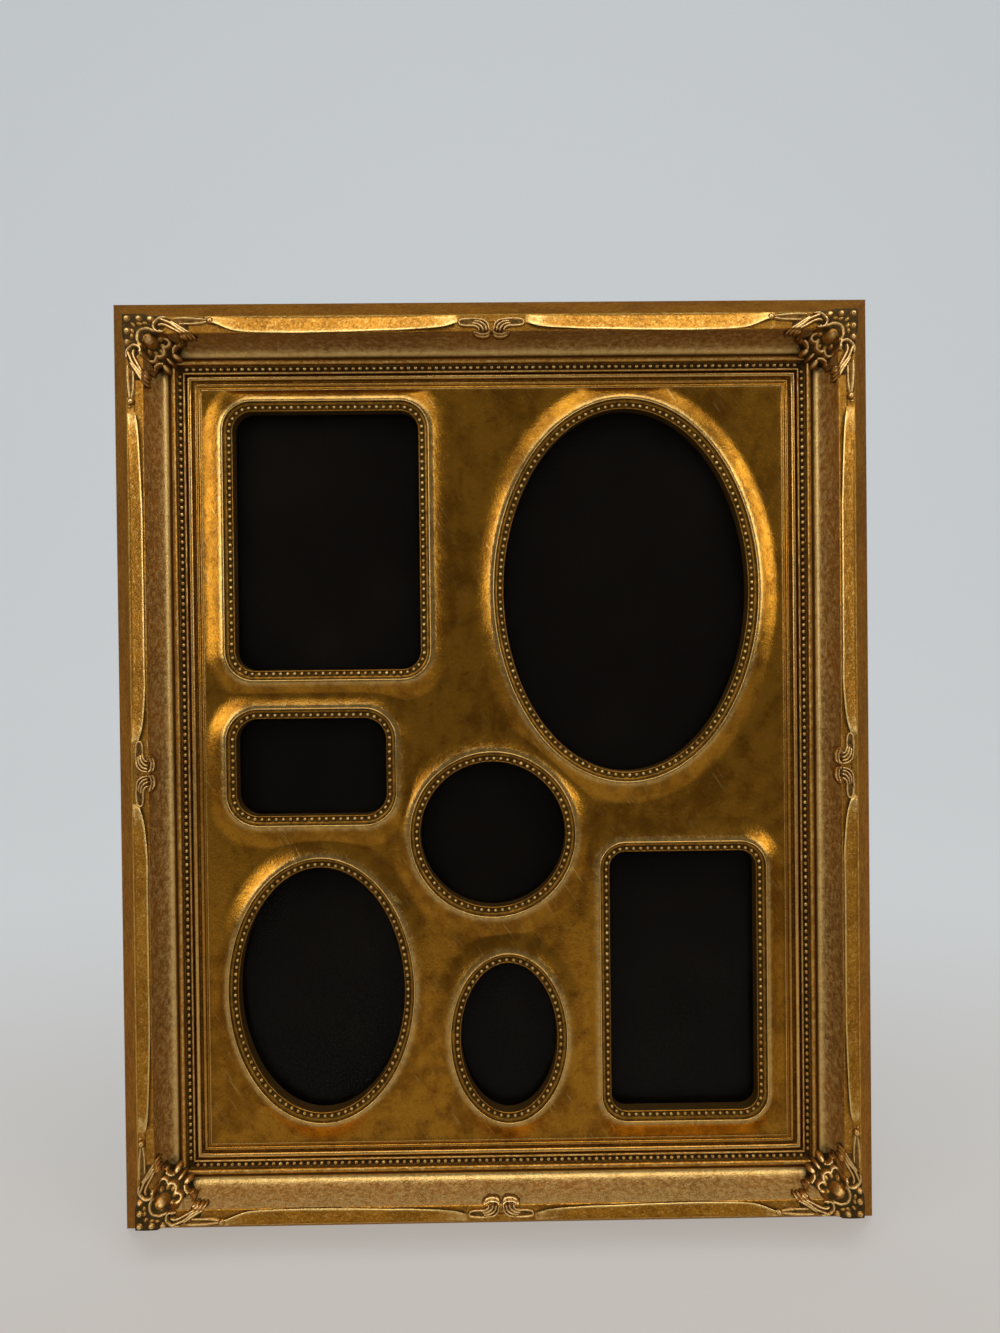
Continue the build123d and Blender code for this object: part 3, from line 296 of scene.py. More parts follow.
@dataclass(frozen=True)
class GoldLeaf:
    """Antique gold leaf: bright where it is rubbed or where the relief carries a painted highlight, brown
    glaze in the hollows.
    """

    name: str
    leaf: Colour = (0.44, 0.195, 0.024)
    bright: Colour = (0.93, 0.66, 0.24)
    glaze: Colour = (0.045, 0.021, 0.006)
    blotch: Colour = (0.20, 0.080, 0.009)
    bole: Colour = (0.12, 0.030, 0.008)
    dust: Colour = (0.62, 0.41, 0.155)
    edge_tint: Colour = (0.52, 0.33, 0.045)
    roughness: float = 0.35
    blotch_share: float = 0.55
    speckle_share: float = 0.62
    glint_share: float = 0.30
    scratch_share: float = 0.0
    bole_share: float = 0.25
    ragged: float = 0.9
    depth: float = 0.00036
    cloud_waves: float = 38.0
    patch_waves: float = 150.0
    grit_waves: float = 430.0
    grain_waves: float = 1000.0
    blotch_band: Band = (0.42, 0.60)
    bole_band: Band = (0.56, 0.64)
    speckle_band: Band = (0.50, 0.60)
    glint_band: Band = (0.38, 0.47)
    rub_and_highlight_band: Band = (0.68, 1.04)
    hollow_band: Band = (0.04, 0.42)
    film_band: Band = (0.43, 0.55)
    scratch_turns: Band = (57.0, -31.0)
    scratch_stretch: Row = (0.014, 0.02, 0.0009)

    def scratches(self, sh: Shader, turn: float) -> Value:
        """Fine straight scratches at an angle in degrees to the level."""
        return sh.noise(1.0, 2.0, 0.5, sh.place(self.scratch_stretch, (0.0, radians(turn), 0.0), "TEXTURE"))

    def scratched(self, sh: Shader, base: Value, cloud: Value) -> Value:
        """Draw pale and dark scratches over the leaf.

        Args:
            sh: the material under construction.
            base: colour of the leaf.
            cloud: broad noise that keeps the scratches to some places.

        Returns:
            The scratched colour.
        """
        pale, dark = (self.scratches(sh, turn) for turn in self.scratch_turns)
        share = sh.step(cloud, 0.46, 0.62) * self.scratch_share
        base = sh.mixed(sh.step(pale, 0.63, 0.70) * share, base, self.bright)
        return sh.mixed(sh.step(dark, 0.61, 0.69) * share, base, self.glaze)

    def material(self) -> Material:
        """Build the material: leaf, blotches and specks, then the wear on the relief, with the painted
        highlights and shade that it carries.

        Returns:
            The finished material.
        """
        sh = Shader(self.name)
        relief = sh.attribute("relief")
        cloud = sh.noise(self.cloud_waves, 6.0, 0.62)
        patch = sh.noise(self.patch_waves, 5.0, 0.6)
        speck = sh.noise(self.grain_waves, 3.0, 0.6)
        grit = sh.noise(self.grit_waves, 5.0, 0.7)
        fine = speck * 0.55 + grit * 0.45
        blotch = sh.step(cloud * 0.6 + patch * 0.4, *self.blotch_band) * self.blotch_share
        base = sh.mixed(blotch, self.leaf, self.blotch)
        bole = sh.step(grit * 0.55 + patch * 0.45, *self.bole_band) * self.bole_share
        base = sh.mixed(bole, base, self.bole)
        speckle = sh.step(fine, *self.speckle_band) * self.speckle_share
        base = sh.mixed(speckle, base, self.blotch)
        glint = (1.0 - sh.step(fine, *self.glint_band)) * sh.step(relief, 0.2, 0.5) * self.glint_share
        base = sh.mixed(glint, base, self.bright)
        if self.scratch_share:
            base = self.scratched(sh, base, cloud)
        # Bright where the relief is high: rubbed crests, and painted highlights where the relief is raised for
        # them.
        rub_and_highlight = sh.step(relief + (grit - 0.5) * self.ragged, *self.rub_and_highlight_band)
        base = sh.mixed(rub_and_highlight * 0.75, base, self.bright)
        # Dark glaze where the relief is low: patina in the hollows, and painted shade where the relief is set
        # low for it.
        hollow = 1.0 - sh.step(relief + (grit - 0.5) * 0.7, *self.hollow_band)
        base = sh.mixed(hollow * 0.93, base, self.glaze)
        # Pale dust where the dust number is high; up the bottom rail's cove it is partly painted light.
        film = sh.attribute("dust") * (sh.step(fine, *self.film_band) * 0.6 + 0.3)
        base = sh.mixed(film, base, self.dust)
        dull = film * 0.2 + hollow * 0.28 + speckle * 0.2 + (grit - 0.5) * 0.25
        return sh.surface(
            Base_Color=base,
            Metallic=0.94 - hollow * 0.62 - film * 0.55,
            Roughness=self.roughness + dull - rub_and_highlight * 0.06,
            Specular_Tint=self.edge_tint,
            Normal=sh.bump(speck * 0.6 + grit * 0.9 + patch * 0.6, self.depth, 0.55),
        )


RAIL_GOLD = GoldLeaf("gilt_moulding")
ORNAMENT_GOLD = GoldLeaf(
    "gilt_ornament", leaf=(0.40, 0.195, 0.040), bright=(0.92, 0.64, 0.27), glaze=(0.016, 0.012, 0.006),
    blotch_share=0.3, speckle_share=0.2, glint_share=0.1, roughness=0.33,
)
PEARL_GOLD = GoldLeaf(
    "gilt_pearls", leaf=(0.31, 0.160, 0.036), bright=(0.88, 0.66, 0.25), glaze=(0.028, 0.017, 0.008),
    blotch_share=0.3, speckle_share=0.3, glint_share=0.1, roughness=0.32,
)
# Its bright colour is mostly the painted highlight on the collars near the rims.
MAT_GOLD = GoldLeaf(
    "gilt_mat", leaf=(0.36, 0.158, 0.014), bright=(0.98, 0.72, 0.27), blotch=(0.15, 0.056, 0.005),
    roughness=0.20, blotch_share=0.7, speckle_share=0.30, glint_share=0.05, scratch_share=0.16,
    bole_share=0.45, ragged=0.3, depth=0.00016,
)
# Its dark glaze is patina in the rims' grooves and painted shade on the windows' inner walls.
RIM_GOLD = GoldLeaf(
    "gilt_mat_rims", leaf=(0.42, 0.190, 0.022), glaze=(0.020, 0.011, 0.004), roughness=0.24,
    blotch_share=0.4, speckle_share=0.3, glint_share=0.12, ragged=0.35, depth=0.00016,
)


@dataclass(frozen=True)
class RawWood:
    """Stained wood of the rails' back, with its grain along X or up the frame."""

    name: str
    upright: bool
    early: Colour = (0.30, 0.19, 0.10)
    late: Colour = (0.17, 0.095, 0.045)
    soiled: Colour = (0.09, 0.055, 0.03)
    waves: Row = (14.0, 420.0, 420.0)

    def material(self) -> Material:
        """Build the material.

        Returns:
            The finished material.
        """
        sh = Shader(self.name)
        waves = self.waves[::-1] if self.upright else self.waves
        spot = sh.place(waves, (radians(-LEAN), 0.0, 0.0))
        rings = sh.noise(1.0, 5.0, 0.55, spot)
        pores = sh.noise(4.5, 3.0, 0.7, spot)
        soil = sh.noise(45.0, 4.0, 0.6)
        base = sh.mixed(sh.step(rings, 0.35, 0.66), self.early, self.late)
        return sh.surface(
            Base_Color=sh.mixed(sh.step(soil, 0.45, 0.75) * 0.4, base, self.soiled),
            Roughness=0.62 + pores * 0.2,
            Normal=sh.bump(rings * 0.7 + pores * 0.4, 0.0003, 0.6),
        )


@dataclass(frozen=True)
class SuedePaper:
    """Dark brown suede paper that covers the backboard and the leg."""

    name: str
    colour: Colour = (0.040, 0.026, 0.018)
    light: Colour = (0.075, 0.052, 0.038)

    def material(self) -> Material:
        """Build the material.

        Returns:
            The finished material.
        """
        sh = Shader(self.name)
        nap = sh.noise(900.0, 5.0, 0.7)
        rubbed = sh.noise(22.0, 4.0, 0.55)
        fibre = sh.noise(2600.0, 2.0, 0.6)
        base = sh.mixed(sh.step(nap * 0.5 + rubbed * 0.5, 0.42, 0.66), self.colour, self.light)
        return sh.surface(
            Base_Color=base,
            Roughness=0.86 + (nap - 0.5) * 0.15,
            Sheen_Weight=0.35,
            Sheen_Roughness=0.45,
            Normal=sh.bump(nap * 0.6 + fibre * 0.4, 0.00012, 0.7),
        )


@dataclass(frozen=True)
class Card:
    """Warm near-black card behind the windows, with faint smudges."""

    name: str
    colour: Colour = (0.0062, 0.0043, 0.0029)
    dust: Colour = (0.0105, 0.0078, 0.0056)

    def material(self) -> Material:
        """Build the material.

        Returns:
            The finished material.
        """
        sh = Shader(self.name)
        smudge = sh.noise(26.0, 5.0, 0.6)
        fibre = sh.noise(1100.0, 4.0, 0.6)
        base = sh.mixed(sh.step(smudge + fibre * 0.08, 0.50, 0.80), self.colour, self.dust)
        return sh.surface(
            Base_Color=base,
            Roughness=0.74 + (smudge - 0.5) * 0.2,
            Specular_IOR_Level=0.04,
            Normal=sh.bump(fibre, 0.00001, 0.4),
        )


@dataclass(frozen=True)
class ClearGlass:
    """Glazing whose faint film of dust shows only as a change of gloss."""

    name: str
    colour: Colour = (0.985, 0.992, 0.988)
    reflection: Colour = (0.06, 0.06, 0.06)

    def material(self) -> Material:
        """Build the material.

        Returns:
            The finished material.
        """
        sh = Shader(self.name)
        film = sh.noise(18.0, 4.0, 0.6)
        return sh.surface(
            Base_Color=self.colour,
            Roughness=0.03 + sh.step(film, 0.5, 0.8) * 0.06,
            Transmission_Weight=1.0,
            IOR=1.45,
            Specular_Tint=self.reflection,
        )


@dataclass(frozen=True)
class Plate:
    """Plated metal of the fittings, with rubbed edges and dull patches."""

    name: str
    colour: Colour
    dull: Colour
    roughness: float = 0.28
    brush_waves: Row = (2400.0, 160.0, 160.0)

    def material(self) -> Material:
        """Build the material.

        Returns:
            The finished material.
        """
        sh = Shader(self.name)
        patch = sh.noise(240.0, 5.0, 0.6)
        fine = sh.noise(2200.0, 2.0, 0.6)
        brush = sh.noise(1.0, 3.0, 0.6, sh.place(self.brush_waves))
        spent = sh.step(patch, 0.46, 0.66)
        return sh.surface(
            Base_Color=sh.mixed(spent * 0.6, self.colour, self.dull),
            Metallic=0.96,
            Roughness=self.roughness + spent * 0.2 + (brush - 0.5) * 0.12,
            Normal=sh.bump(fine * 0.5 + brush * 0.5, 0.00003, 0.6),
        )


@dataclass(frozen=True)
class Backdrop:
    """Pale floor and backdrop that take the frame's shadow; where the camera sees them they partly glow in
    painted light.
    """

    name: str = "sweep_paper"
    colour: Colour = (0.70, 0.71, 0.72)
    # Colours of the painted glow: the near floor, the horizon and the wall.
    floor: Colour = (0.545, 0.505, 0.46)
    horizon: Colour = (0.665, 0.695, 0.71)
    wall: Colour = (0.580, 0.622, 0.640)
    glow_share: float = 0.7
    floor_near: float = -0.12
    floor_far: float = 0.34
    wall_height: float = 1.07

    def material(self) -> Material:
        """Build the material; the camera and reflections see part of it as a painted glow, graded from the
        near floor to the horizon and up the wall.

        Returns:
            The finished material.
        """
        sh = Shader(self.name)
        spot = sh.spot()
        depth, height = (sh.node("SeparateXYZ", None, {0: spot}, output=axis) for axis in (1, 2))
        # Painted glow, darker on the near floor, lighter at the horizon and graded up the wall, as the lamps
        # would light the sweep.
        ground = sh.mixed(sh.step(depth, self.floor_near, self.floor_far), self.floor, self.horizon)
        painted_glow = sh.mixed((height / self.wall_height) ** 0.6, ground, self.wall)
        lit = sh.node("BsdfDiffuse", None, {"Color": self.colour})
        plain = sh.node("Emission", None, {"Color": painted_glow, "Strength": 1.0})
        rays = [sh.node("LightPath", output=f"Is {kind} Ray") for kind in ("Camera", "Glossy")]
        share = sh.maths("MAXIMUM", *rays) * self.glow_share
        return sh.finished(sh.node("MixShader", None, {0: share, 1: lit, 2: plain}))


# Meshes


def laid_grid(columns: int, rows: int, place: Callable[[Array, Array], Array]) -> Geometry:
    """Grid whose points are laid by a function.

    Args:
        columns: faces along the first direction.
        rows: faces along the second.
        place: takes the two shares from 0 to 1 and gives x, y, z, relief and, if the piece
            is dusty, dust in columns.

    Returns:
        The grid, with relief and dust as numbers on each point.
    """
    bm = bmesh.new()
    bmesh.ops.create_grid(bm, x_segments=columns, y_segments=rows, size=1.0)
    plan = np.array([vert.co[:2] for vert in bm.verts]) / 2 + 0.5
    points = place(plan[:, 0], plan[:, 1])
    layers = [bm.verts.layers.float.new(name) for name in ("relief", "dust")[: points.shape[1] - 3]]
    for vert, point in zip(bm.verts, points):
        vert.co = point[:3]
        for layer, value in zip(layers, point[3:]):
            vert[layer] = value
    return bm


def filled(bm: Geometry) -> Geometry:
    """Fill the open ends of a shell and turn its faces outwards.

    Args:
        bm: the shell.

    Returns:
        The same shell, closed.
    """
    rim = [edge for edge in bm.edges if edge.is_boundary]
    if rim:
        bmesh.ops.holes_fill(bm, edges=rim, sides=0)
    bmesh.ops.recalc_face_normals(bm, faces=bm.faces)
    return bm


def closed(bm: Geometry) -> Geometry:
    """Weld the seams of a wrapped grid and fill its ends."""
    bmesh.ops.remove_doubles(bm, verts=bm.verts, dist=WELD_GAP)
    return filled(bm)


Tuck = Callable[[Vector], Row]


def based(bm: Geometry, floor: float, tuck: Tuck | None = None) -> Geometry:
    """Close a relief below, inside what carries it.

    Args:
        bm: the open relief.
        floor: rise of the flat underside.
        tuck: gives the place under an overhanging edge where its skirt turns down.

    Returns:
        The closed relief.
    """

    def below(co: Vector) -> Row:
        """Place on the underside."""
        return co.x, co.y, floor

    for level in (tuck, below) if tuck else (below,):
        rim = [edge for edge in bm.edges if edge.is_boundary]
        for part in bmesh.ops.extrude_edge_only(bm, edges=rim)["geom"]:
            if isinstance(part, bmesh.types.BMVert):
                part.co = level(part.co)
    return filled(bm)


def meshed(name: str, bm: Geometry) -> bpy.types.Mesh:
    """Turn geometry into a mesh.

    Args:
        name: name of the mesh.
        bm: the geometry; it is used up.

    Returns:
        The mesh.
    """
    mesh = bpy.data.meshes.new(name)
    bm.to_mesh(mesh)
    bm.free()
    return mesh


def joined(whole: Geometry, part: Geometry) -> None:
    """Add one geometry to another.

    Args:
        whole: the geometry that grows.
        part: the geometry that it takes in; it is used up.
    """
    spare = meshed("part", part)
    whole.from_mesh(spare)
    bpy.data.meshes.remove(spare)


def linked(name: str, data: bpy.types.ID) -> bpy.types.Object:
    """Put a mesh, lamp or camera into the scene.

    Args:
        name: name of the object.
        data: what it shows.

    Returns:
        The object.
    """
    thing = bpy.data.objects.new(name, data)
    bpy.context.scene.collection.objects.link(thing)
    return thing


def section_at(rows: Line, share: Array) -> Array:
    """Rows of a closed section at shares of the way round it."""
    return np.array(rows)[np.rint(share * len(rows)).astype(int) % len(rows)]


def half_round(foot: Row, over: Row, count: int) -> list[Row]:
    """Rows over a half-round ridge.

    Args:
        foot: place, rise and relief where it starts.
        over: half its width, which may be negative, and the rise and relief its crest adds.
        count: faces over it.

    Returns:
        Place, rise and relief of each row.
    """
    swing = [(1 - cos(pi * k / count), sin(pi * k / count)) for k in range(count + 1)]
    return [(foot[0] + over[0] * way, foot[1] + over[1] * up, foot[2] + over[2] * up) for way, up in swing]


@dataclass
class Piece:
    """One finished object: its name, its finish and the CAD nodes that it stands for."""

    name: str
    material: Material
    slot: str
    replaces: Sequence[str] = ()
    body: str = "frame"
    angle: float = SMOOTH_ANGLE
    other: Material | None = None
    other_faces: Callable[[Vector], bool] | None = None

    def make(self, bm: Geometry) -> None:
        """Turn plan geometry into the standing object, riding on its body.

        Args:
            bm: the geometry in plan millimetres; it is used up.
        """
        if self.other_faces:
            for face in bm.faces:
                face.material_index = int(self.other_faces(face.calc_center_median()))
        bmesh.ops.transform(bm, matrix=standing(), verts=bm.verts)
        mesh = meshed(self.name, bm)
        mesh.materials.append(self.material)
        if self.other:
            mesh.materials.append(self.other)
        mesh.shade_smooth()
        mesh.set_sharp_from_angle(angle=radians(self.angle))
        piece = linked(self.name, mesh)
        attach(piece, self.body)
        for node in self.replaces:
            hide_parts(node)
        log.info("%s: %d faces", self.name, len(mesh.polygons))


def smoothed(values: Array, reach: int) -> Array:
    """Values averaged twice, with level ends.

    Args:
        values: the values in a row.
        reach: how many on each side are averaged in.

    Returns:
        As many smoother values.
    """
    window = np.ones(2 * reach + 1) / (2 * reach + 1)
    for _ in range(2):
        values = np.convolve(np.pad(values, reach, mode="edge"), window, mode="valid")
    return values


# Rails


@dataclass
class Blade:
    """Swept blade of half a rail: its crest swings out over the cove."""

    start: float
    end: float
    width: float
    length_share: Sequence[float]
    width_share: Sequence[float]
    bow: float = 0.8
    rise: float = 2.3
    end_rise: float = 0.9
    tip: float = 2.2
    outline: float = 19.25
    samples: int = 600
    run_in: float = 34.0

    def sizes(self, along: Array) -> tuple[Array, Array, Array]:
        """Crest and outline of the blade, and the crest's rise.

        Args:
            along: distances from the rail's middle.

        Returns:
            Distances of the crest and the outline from the sight edge, and the rise, which is
            zero beyond the blade's ends.
        """
        share = np.linspace(0, 1, self.samples)
        width = smoothed(np.interp(share, self.length_share, self.width_share), 9) * self.width
        swing = np.clip((width / self.width - 0.45) / 0.5, 0, 1)
        outline = self.outline - self.bow * swing
        reach = np.minimum(share, 1 - share) * (self.start - self.end)
        lift = self.end_rise + (self.rise - self.end_rise) * np.clip(reach / self.run_in, 0, 1) ** 0.8
        lift = smoothed(lift * np.clip(reach / self.tip, 0, 1) ** 0.6, 2)
        t = (self.start - np.abs(along)) / (self.start - self.end)
        inside = (t > 0) & (t < 1)
        crest = np.interp(t, share, outline - width)
        return crest, np.interp(t, share, outline), np.where(inside, np.interp(t, share, lift), 0.0)


@dataclass
class Moulding:
    """Section of the rails, outwards from the sight edge."""

    lip: float = 0.9
    groove_end: float = 3.7
    fillet_end: float = 6.0
    cove_start: float = 7.6
    cove_end: float = 12.4
    face_edge: float = 19.3
    face_rise: float = 17.0
    ledge_rise: float = 0.6
    cove_rise: float = 16.3
    fillet_rise: float = 2.3
    lip_back: float = -3.0
    groove_floor: float = -0.4
    side_foot: float = -3.5
    rabbet: float = 7.15
    slip_edge: float = 6.8
    foot_rise: float = 1.1

    def slip_rows(self) -> list[Row]:
        """Rows of the slip, from the lip's back over the fillet.

        Returns:
            Place, rise and relief of each row.
        """
        radius = (self.fillet_end - self.groove_end) / 2
        foot = (self.groove_end, self.foot_rise, 0.35)
        return [
            (0.0, self.lip_back, 0.2),
            (0.0, 0.0, 0.25),
            *half_round((0.0, 0.55, 0.55), (self.lip / 2, 0.45, 0.35), 6),
            (self.lip, self.groove_floor, 0.0),
            (self.groove_end, self.groove_floor, 0.0),
            *half_round(foot, (radius, self.fillet_rise - self.foot_rise, 0.5), 8),
            (self.fillet_end, self.ledge_rise + 0.1, 0.05),
            (self.fillet_end + 0.35, self.ledge_rise, 0.0),
            (self.slip_edge, self.ledge_rise, 0.0),
            (self.slip_edge, self.lip_back, 0.0),
        ]

    def cove_rows(self) -> list[Row]:
        """Rows of the rail from its ledge beside the slip up the cove.

        Returns:
            Place, rise, relief and dust of each row.
        """
        rows = [
            (self.slip_edge, self.ledge_rise, 0.0, 0.0),
            (self.cove_start - 0.4, self.ledge_rise + 0.05, 0.1, 0.2),
        ]
        steps = 18
        for k in range(steps + 1):
            turn = pi / 2 * k / steps
            spot = self.cove_start + (self.cove_end - self.cove_start) * sin(turn)
            rise = self.cove_rise - (self.cove_rise - self.ledge_rise) * cos(turn)
            # Relief and dust rise towards the foot and paint it lighter; the extra relief there is a painted
            # highlight where the side lamps catch the foot.
            rows.append((spot, rise, 0.80 + 0.14 * (1 - k / steps) ** 2, 0.42 + 0.3 * max(1 - k / 6, 0.0)))
        return rows

    def edge_rows(self) -> list[Row]:
        """Rows of the cove's top edge: place, rise and relief."""
        return [(self.cove_end + 0.08, self.face_rise - 0.3, 0.7), (self.cove_end + 0.42, self.face_rise, 0.5)]

    def outer_rows(self) -> list[Row]:
        """Rows from the face's outer edge round the side and the back.

        Returns:
            Place, rise and relief of each row.
        """
        edge, rise = self.face_edge, self.face_rise
        rows = [(edge - 0.12, rise, 0.9), (edge + 0.05, rise - 0.12, 0.9)]
        for k in range(1, 7):
            share = k / 6
            spot = edge + (RAIL_WIDTH - edge) * share
            rows.append((spot, rise + (self.side_foot - rise) * share, 0.5))
        rows += [
            (RAIL_WIDTH, -RAIL_BACK + 0.5, 0.45),
            (RAIL_WIDTH - 0.5, -RAIL_BACK, 0.3),
            (self.rabbet, -RAIL_BACK, 0.2),
            (self.rabbet, self.lip_back, 0.2),
            (self.slip_edge, self.lip_back, 0.2),
        ]
        return rows

    def blade_rows(self) -> list[Row]:
        """Rows over the blade, from its crest to its outline.

        Returns:
            Share of its width, offset, share of its rise and relief of each row.
        """
        return [
            (0.0, 0.62, 0.04, 0.02),
            (0.0, 0.30, 0.35, 0.05),
            (0.0, 0.06, 0.80, 0.75),
            (0.0, 0.0, 0.93, 1.0),
            (0.0, 0.14, 1.0, 1.0),
            (0.04, 0.2, 0.98, 0.95),
            (0.14, 0.1, 0.90, 0.72),
            (0.32, 0.0, 0.72, 0.62),
            (0.52, 0.0, 0.52, 0.60),
            (0.72, 0.0, 0.31, 0.62),
            (0.90, 0.0, 0.13, 0.68),
            (1.0, 0.0, 0.05, 0.55),
            (1.0, 0.14, 0.0, 0.35),
        ]

    def rise_at(self, place: Array) -> Array:
        """Rise of the plain section, without its blade.

        Args:
            place: distances from the sight edge.

        Returns:
            The rise at each of them.
        """
        rows = self.slip_rows()[2:-2] + [row[:3] for row in self.cove_rows()] + [
            (self.cove_end + 0.1, self.face_rise - 0.15, 0.0),
            (self.cove_end + 0.4, self.face_rise, 0.0),
        ]
        rows += self.outer_rows()[:8]
        spots = np.maximum.accumulate(np.array([row[0] for row in rows]))
        return np.interp(place, spots, np.array([row[1] for row in rows]))


def mitred(side: Side, rows: Line, columns: int) -> Geometry:
    """Closed bar of one section on a side, mitred at both ends.

    Args:
        side: the rail that it lies on.
        rows: place outwards from the sight edge, rise and relief, in order round the section.
        columns: faces along its length.

    Returns:
        The bar in plan millimetres.
    """

    def place(s: Array, t: Array) -> Array:
        """Lay the grid along the bar and round its section."""
        section = section_at(rows, t)
        x = (2 * s - 1) * (side.along / 2 + section[:, 0])
        across, up = side.turned(x, side.across + section[:, 0])
        return np.column_stack([across, up, section[:, 1:]])

    return closed(laid_grid(columns, len(rows), place))


@dataclass
class RailSection:
    """Section of one rail, which its blade changes from station to station."""

    side: Side
    blade: Blade
    moulding: Moulding
    first_guess: float = 12.8
    rounds: int = 5
    edge_gap: float = 0.95
    band_start: float = 13.0
    band_tone: float = 0.55
    end_highlight_reach: float = 13.0
    joint_share: float = 0.998
    joint_tone: float = 0.05

    def rows(self) -> list[Callable[[Array], Sequence]]:
        """Rows round the section, from the ledge beside the slip round to the rabbet.

        Returns:
            Functions that give a row's place, rise, relief and dust along the rail.
        """
        moulding = self.moulding
        parts = (
            (self.cove_row, moulding.cove_rows()),
            (self.edge_row, moulding.edge_rows()),
            (self.blade_row, moulding.blade_rows()),
            (self.plain_row, moulding.outer_rows()),
        )
        return [partial(laid, row) for laid, rows in parts for row in rows]

    def plain_row(self, row: Row, x: Array) -> Sequence:
        """A row that is the same all along."""
        return *row, 0.0

    def cove_row(self, row: Row, x: Array) -> Sequence:
        """A row of the cove, with the dust of its side and, on the bottom rail, a painted highlight.

        Args:
            row: place, rise, relief and dust.
            x: distances from the rail's middle; not used.

        Returns:
            Place, rise, relief and dust.
        """
        place, rise, tone, dust = row
        height = rise / self.moulding.cove_rise
        # The bottom rail's cove gets a painted highlight up its wall, and dust spread partly as painted light.
        return place, rise, tone + self.side.shine(height), min(dust * self.side.film(height), 1.0)

    def edge_row(self, row: Row, x: Array) -> Sequence:
        """A row of the cove's top edge, which gives way where the blade swings out.

        Args:
            row: place, rise and relief.
            x: distances from the rail's middle.

        Returns:
            Place, rise, relief and dust.
        """
        place, rise, tone = row
        crest, _, lift = self.blade.sizes(x)
        return np.where(lift > 0, np.minimum(place, crest + self.edge_gap), place), rise, tone, 0.0

    def blade_row(self, row: Row, x: Array) -> Sequence:
        """A row of the blade, with a painted highlight towards its ends, where the face turns down.

        Args:
            row: share of the blade's width, offset, share of its rise and relief.
            x: distances from the rail's middle.

        Returns:
            Place, rise, relief and dust.
        """
        part, offset, up, relief = row
        crest, outline, lift = self.blade.sizes(x)
        live = lift > 0
        place = crest + part * (outline - crest) + offset
        place = np.where(live, place, np.clip(place, self.band_start, self.moulding.face_edge - 0.15))
        level = np.clip(lift, 0, 1)
        tone = np.where(live, relief * level + self.band_tone * (1 - level), self.band_tone)
        if part > 0.1:
            # Painted highlight: the face is brightened towards the blade's ends, where it turns down.
            along = np.abs(x)
            reach = np.minimum(np.abs(self.blade.start - along), np.abs(along - self.blade.end))
            painted_end_highlight = np.clip(1.2 - reach / self.end_highlight_reach, 0, 1) * live
            # Between the ends the face is darkened by painted shade, most on the side rails.
            tone = tone + 0.24 * painted_end_highlight - self.side.patina * (1 - painted_end_highlight)
        return place, self.moulding.face_rise + up * lift, tone, 0.0

    def points(self, row: Callable[[Array], Sequence], share: Array) -> Array:
        """Points of one row; the mitre moves them along, so the place is found in rounds.

        Args:
            row: one of the section's rows.
            share: stations, as shares of the way from the middle to the mitre.

        Returns:
            x, y, rise, relief and dust in columns.
        """
        place = self.first_guess
        for _ in range(self.rounds):
            place, rise, tone, dust = row(share * (self.side.along / 2 + place))
        tone = np.where(np.abs(share) > self.joint_share, self.joint_tone, tone)
        across, up = self.side.turned(share * (self.side.along / 2 + place), self.side.across + place)
        return np.column_stack(np.broadcast_arrays(across, up, rise, tone, dust))


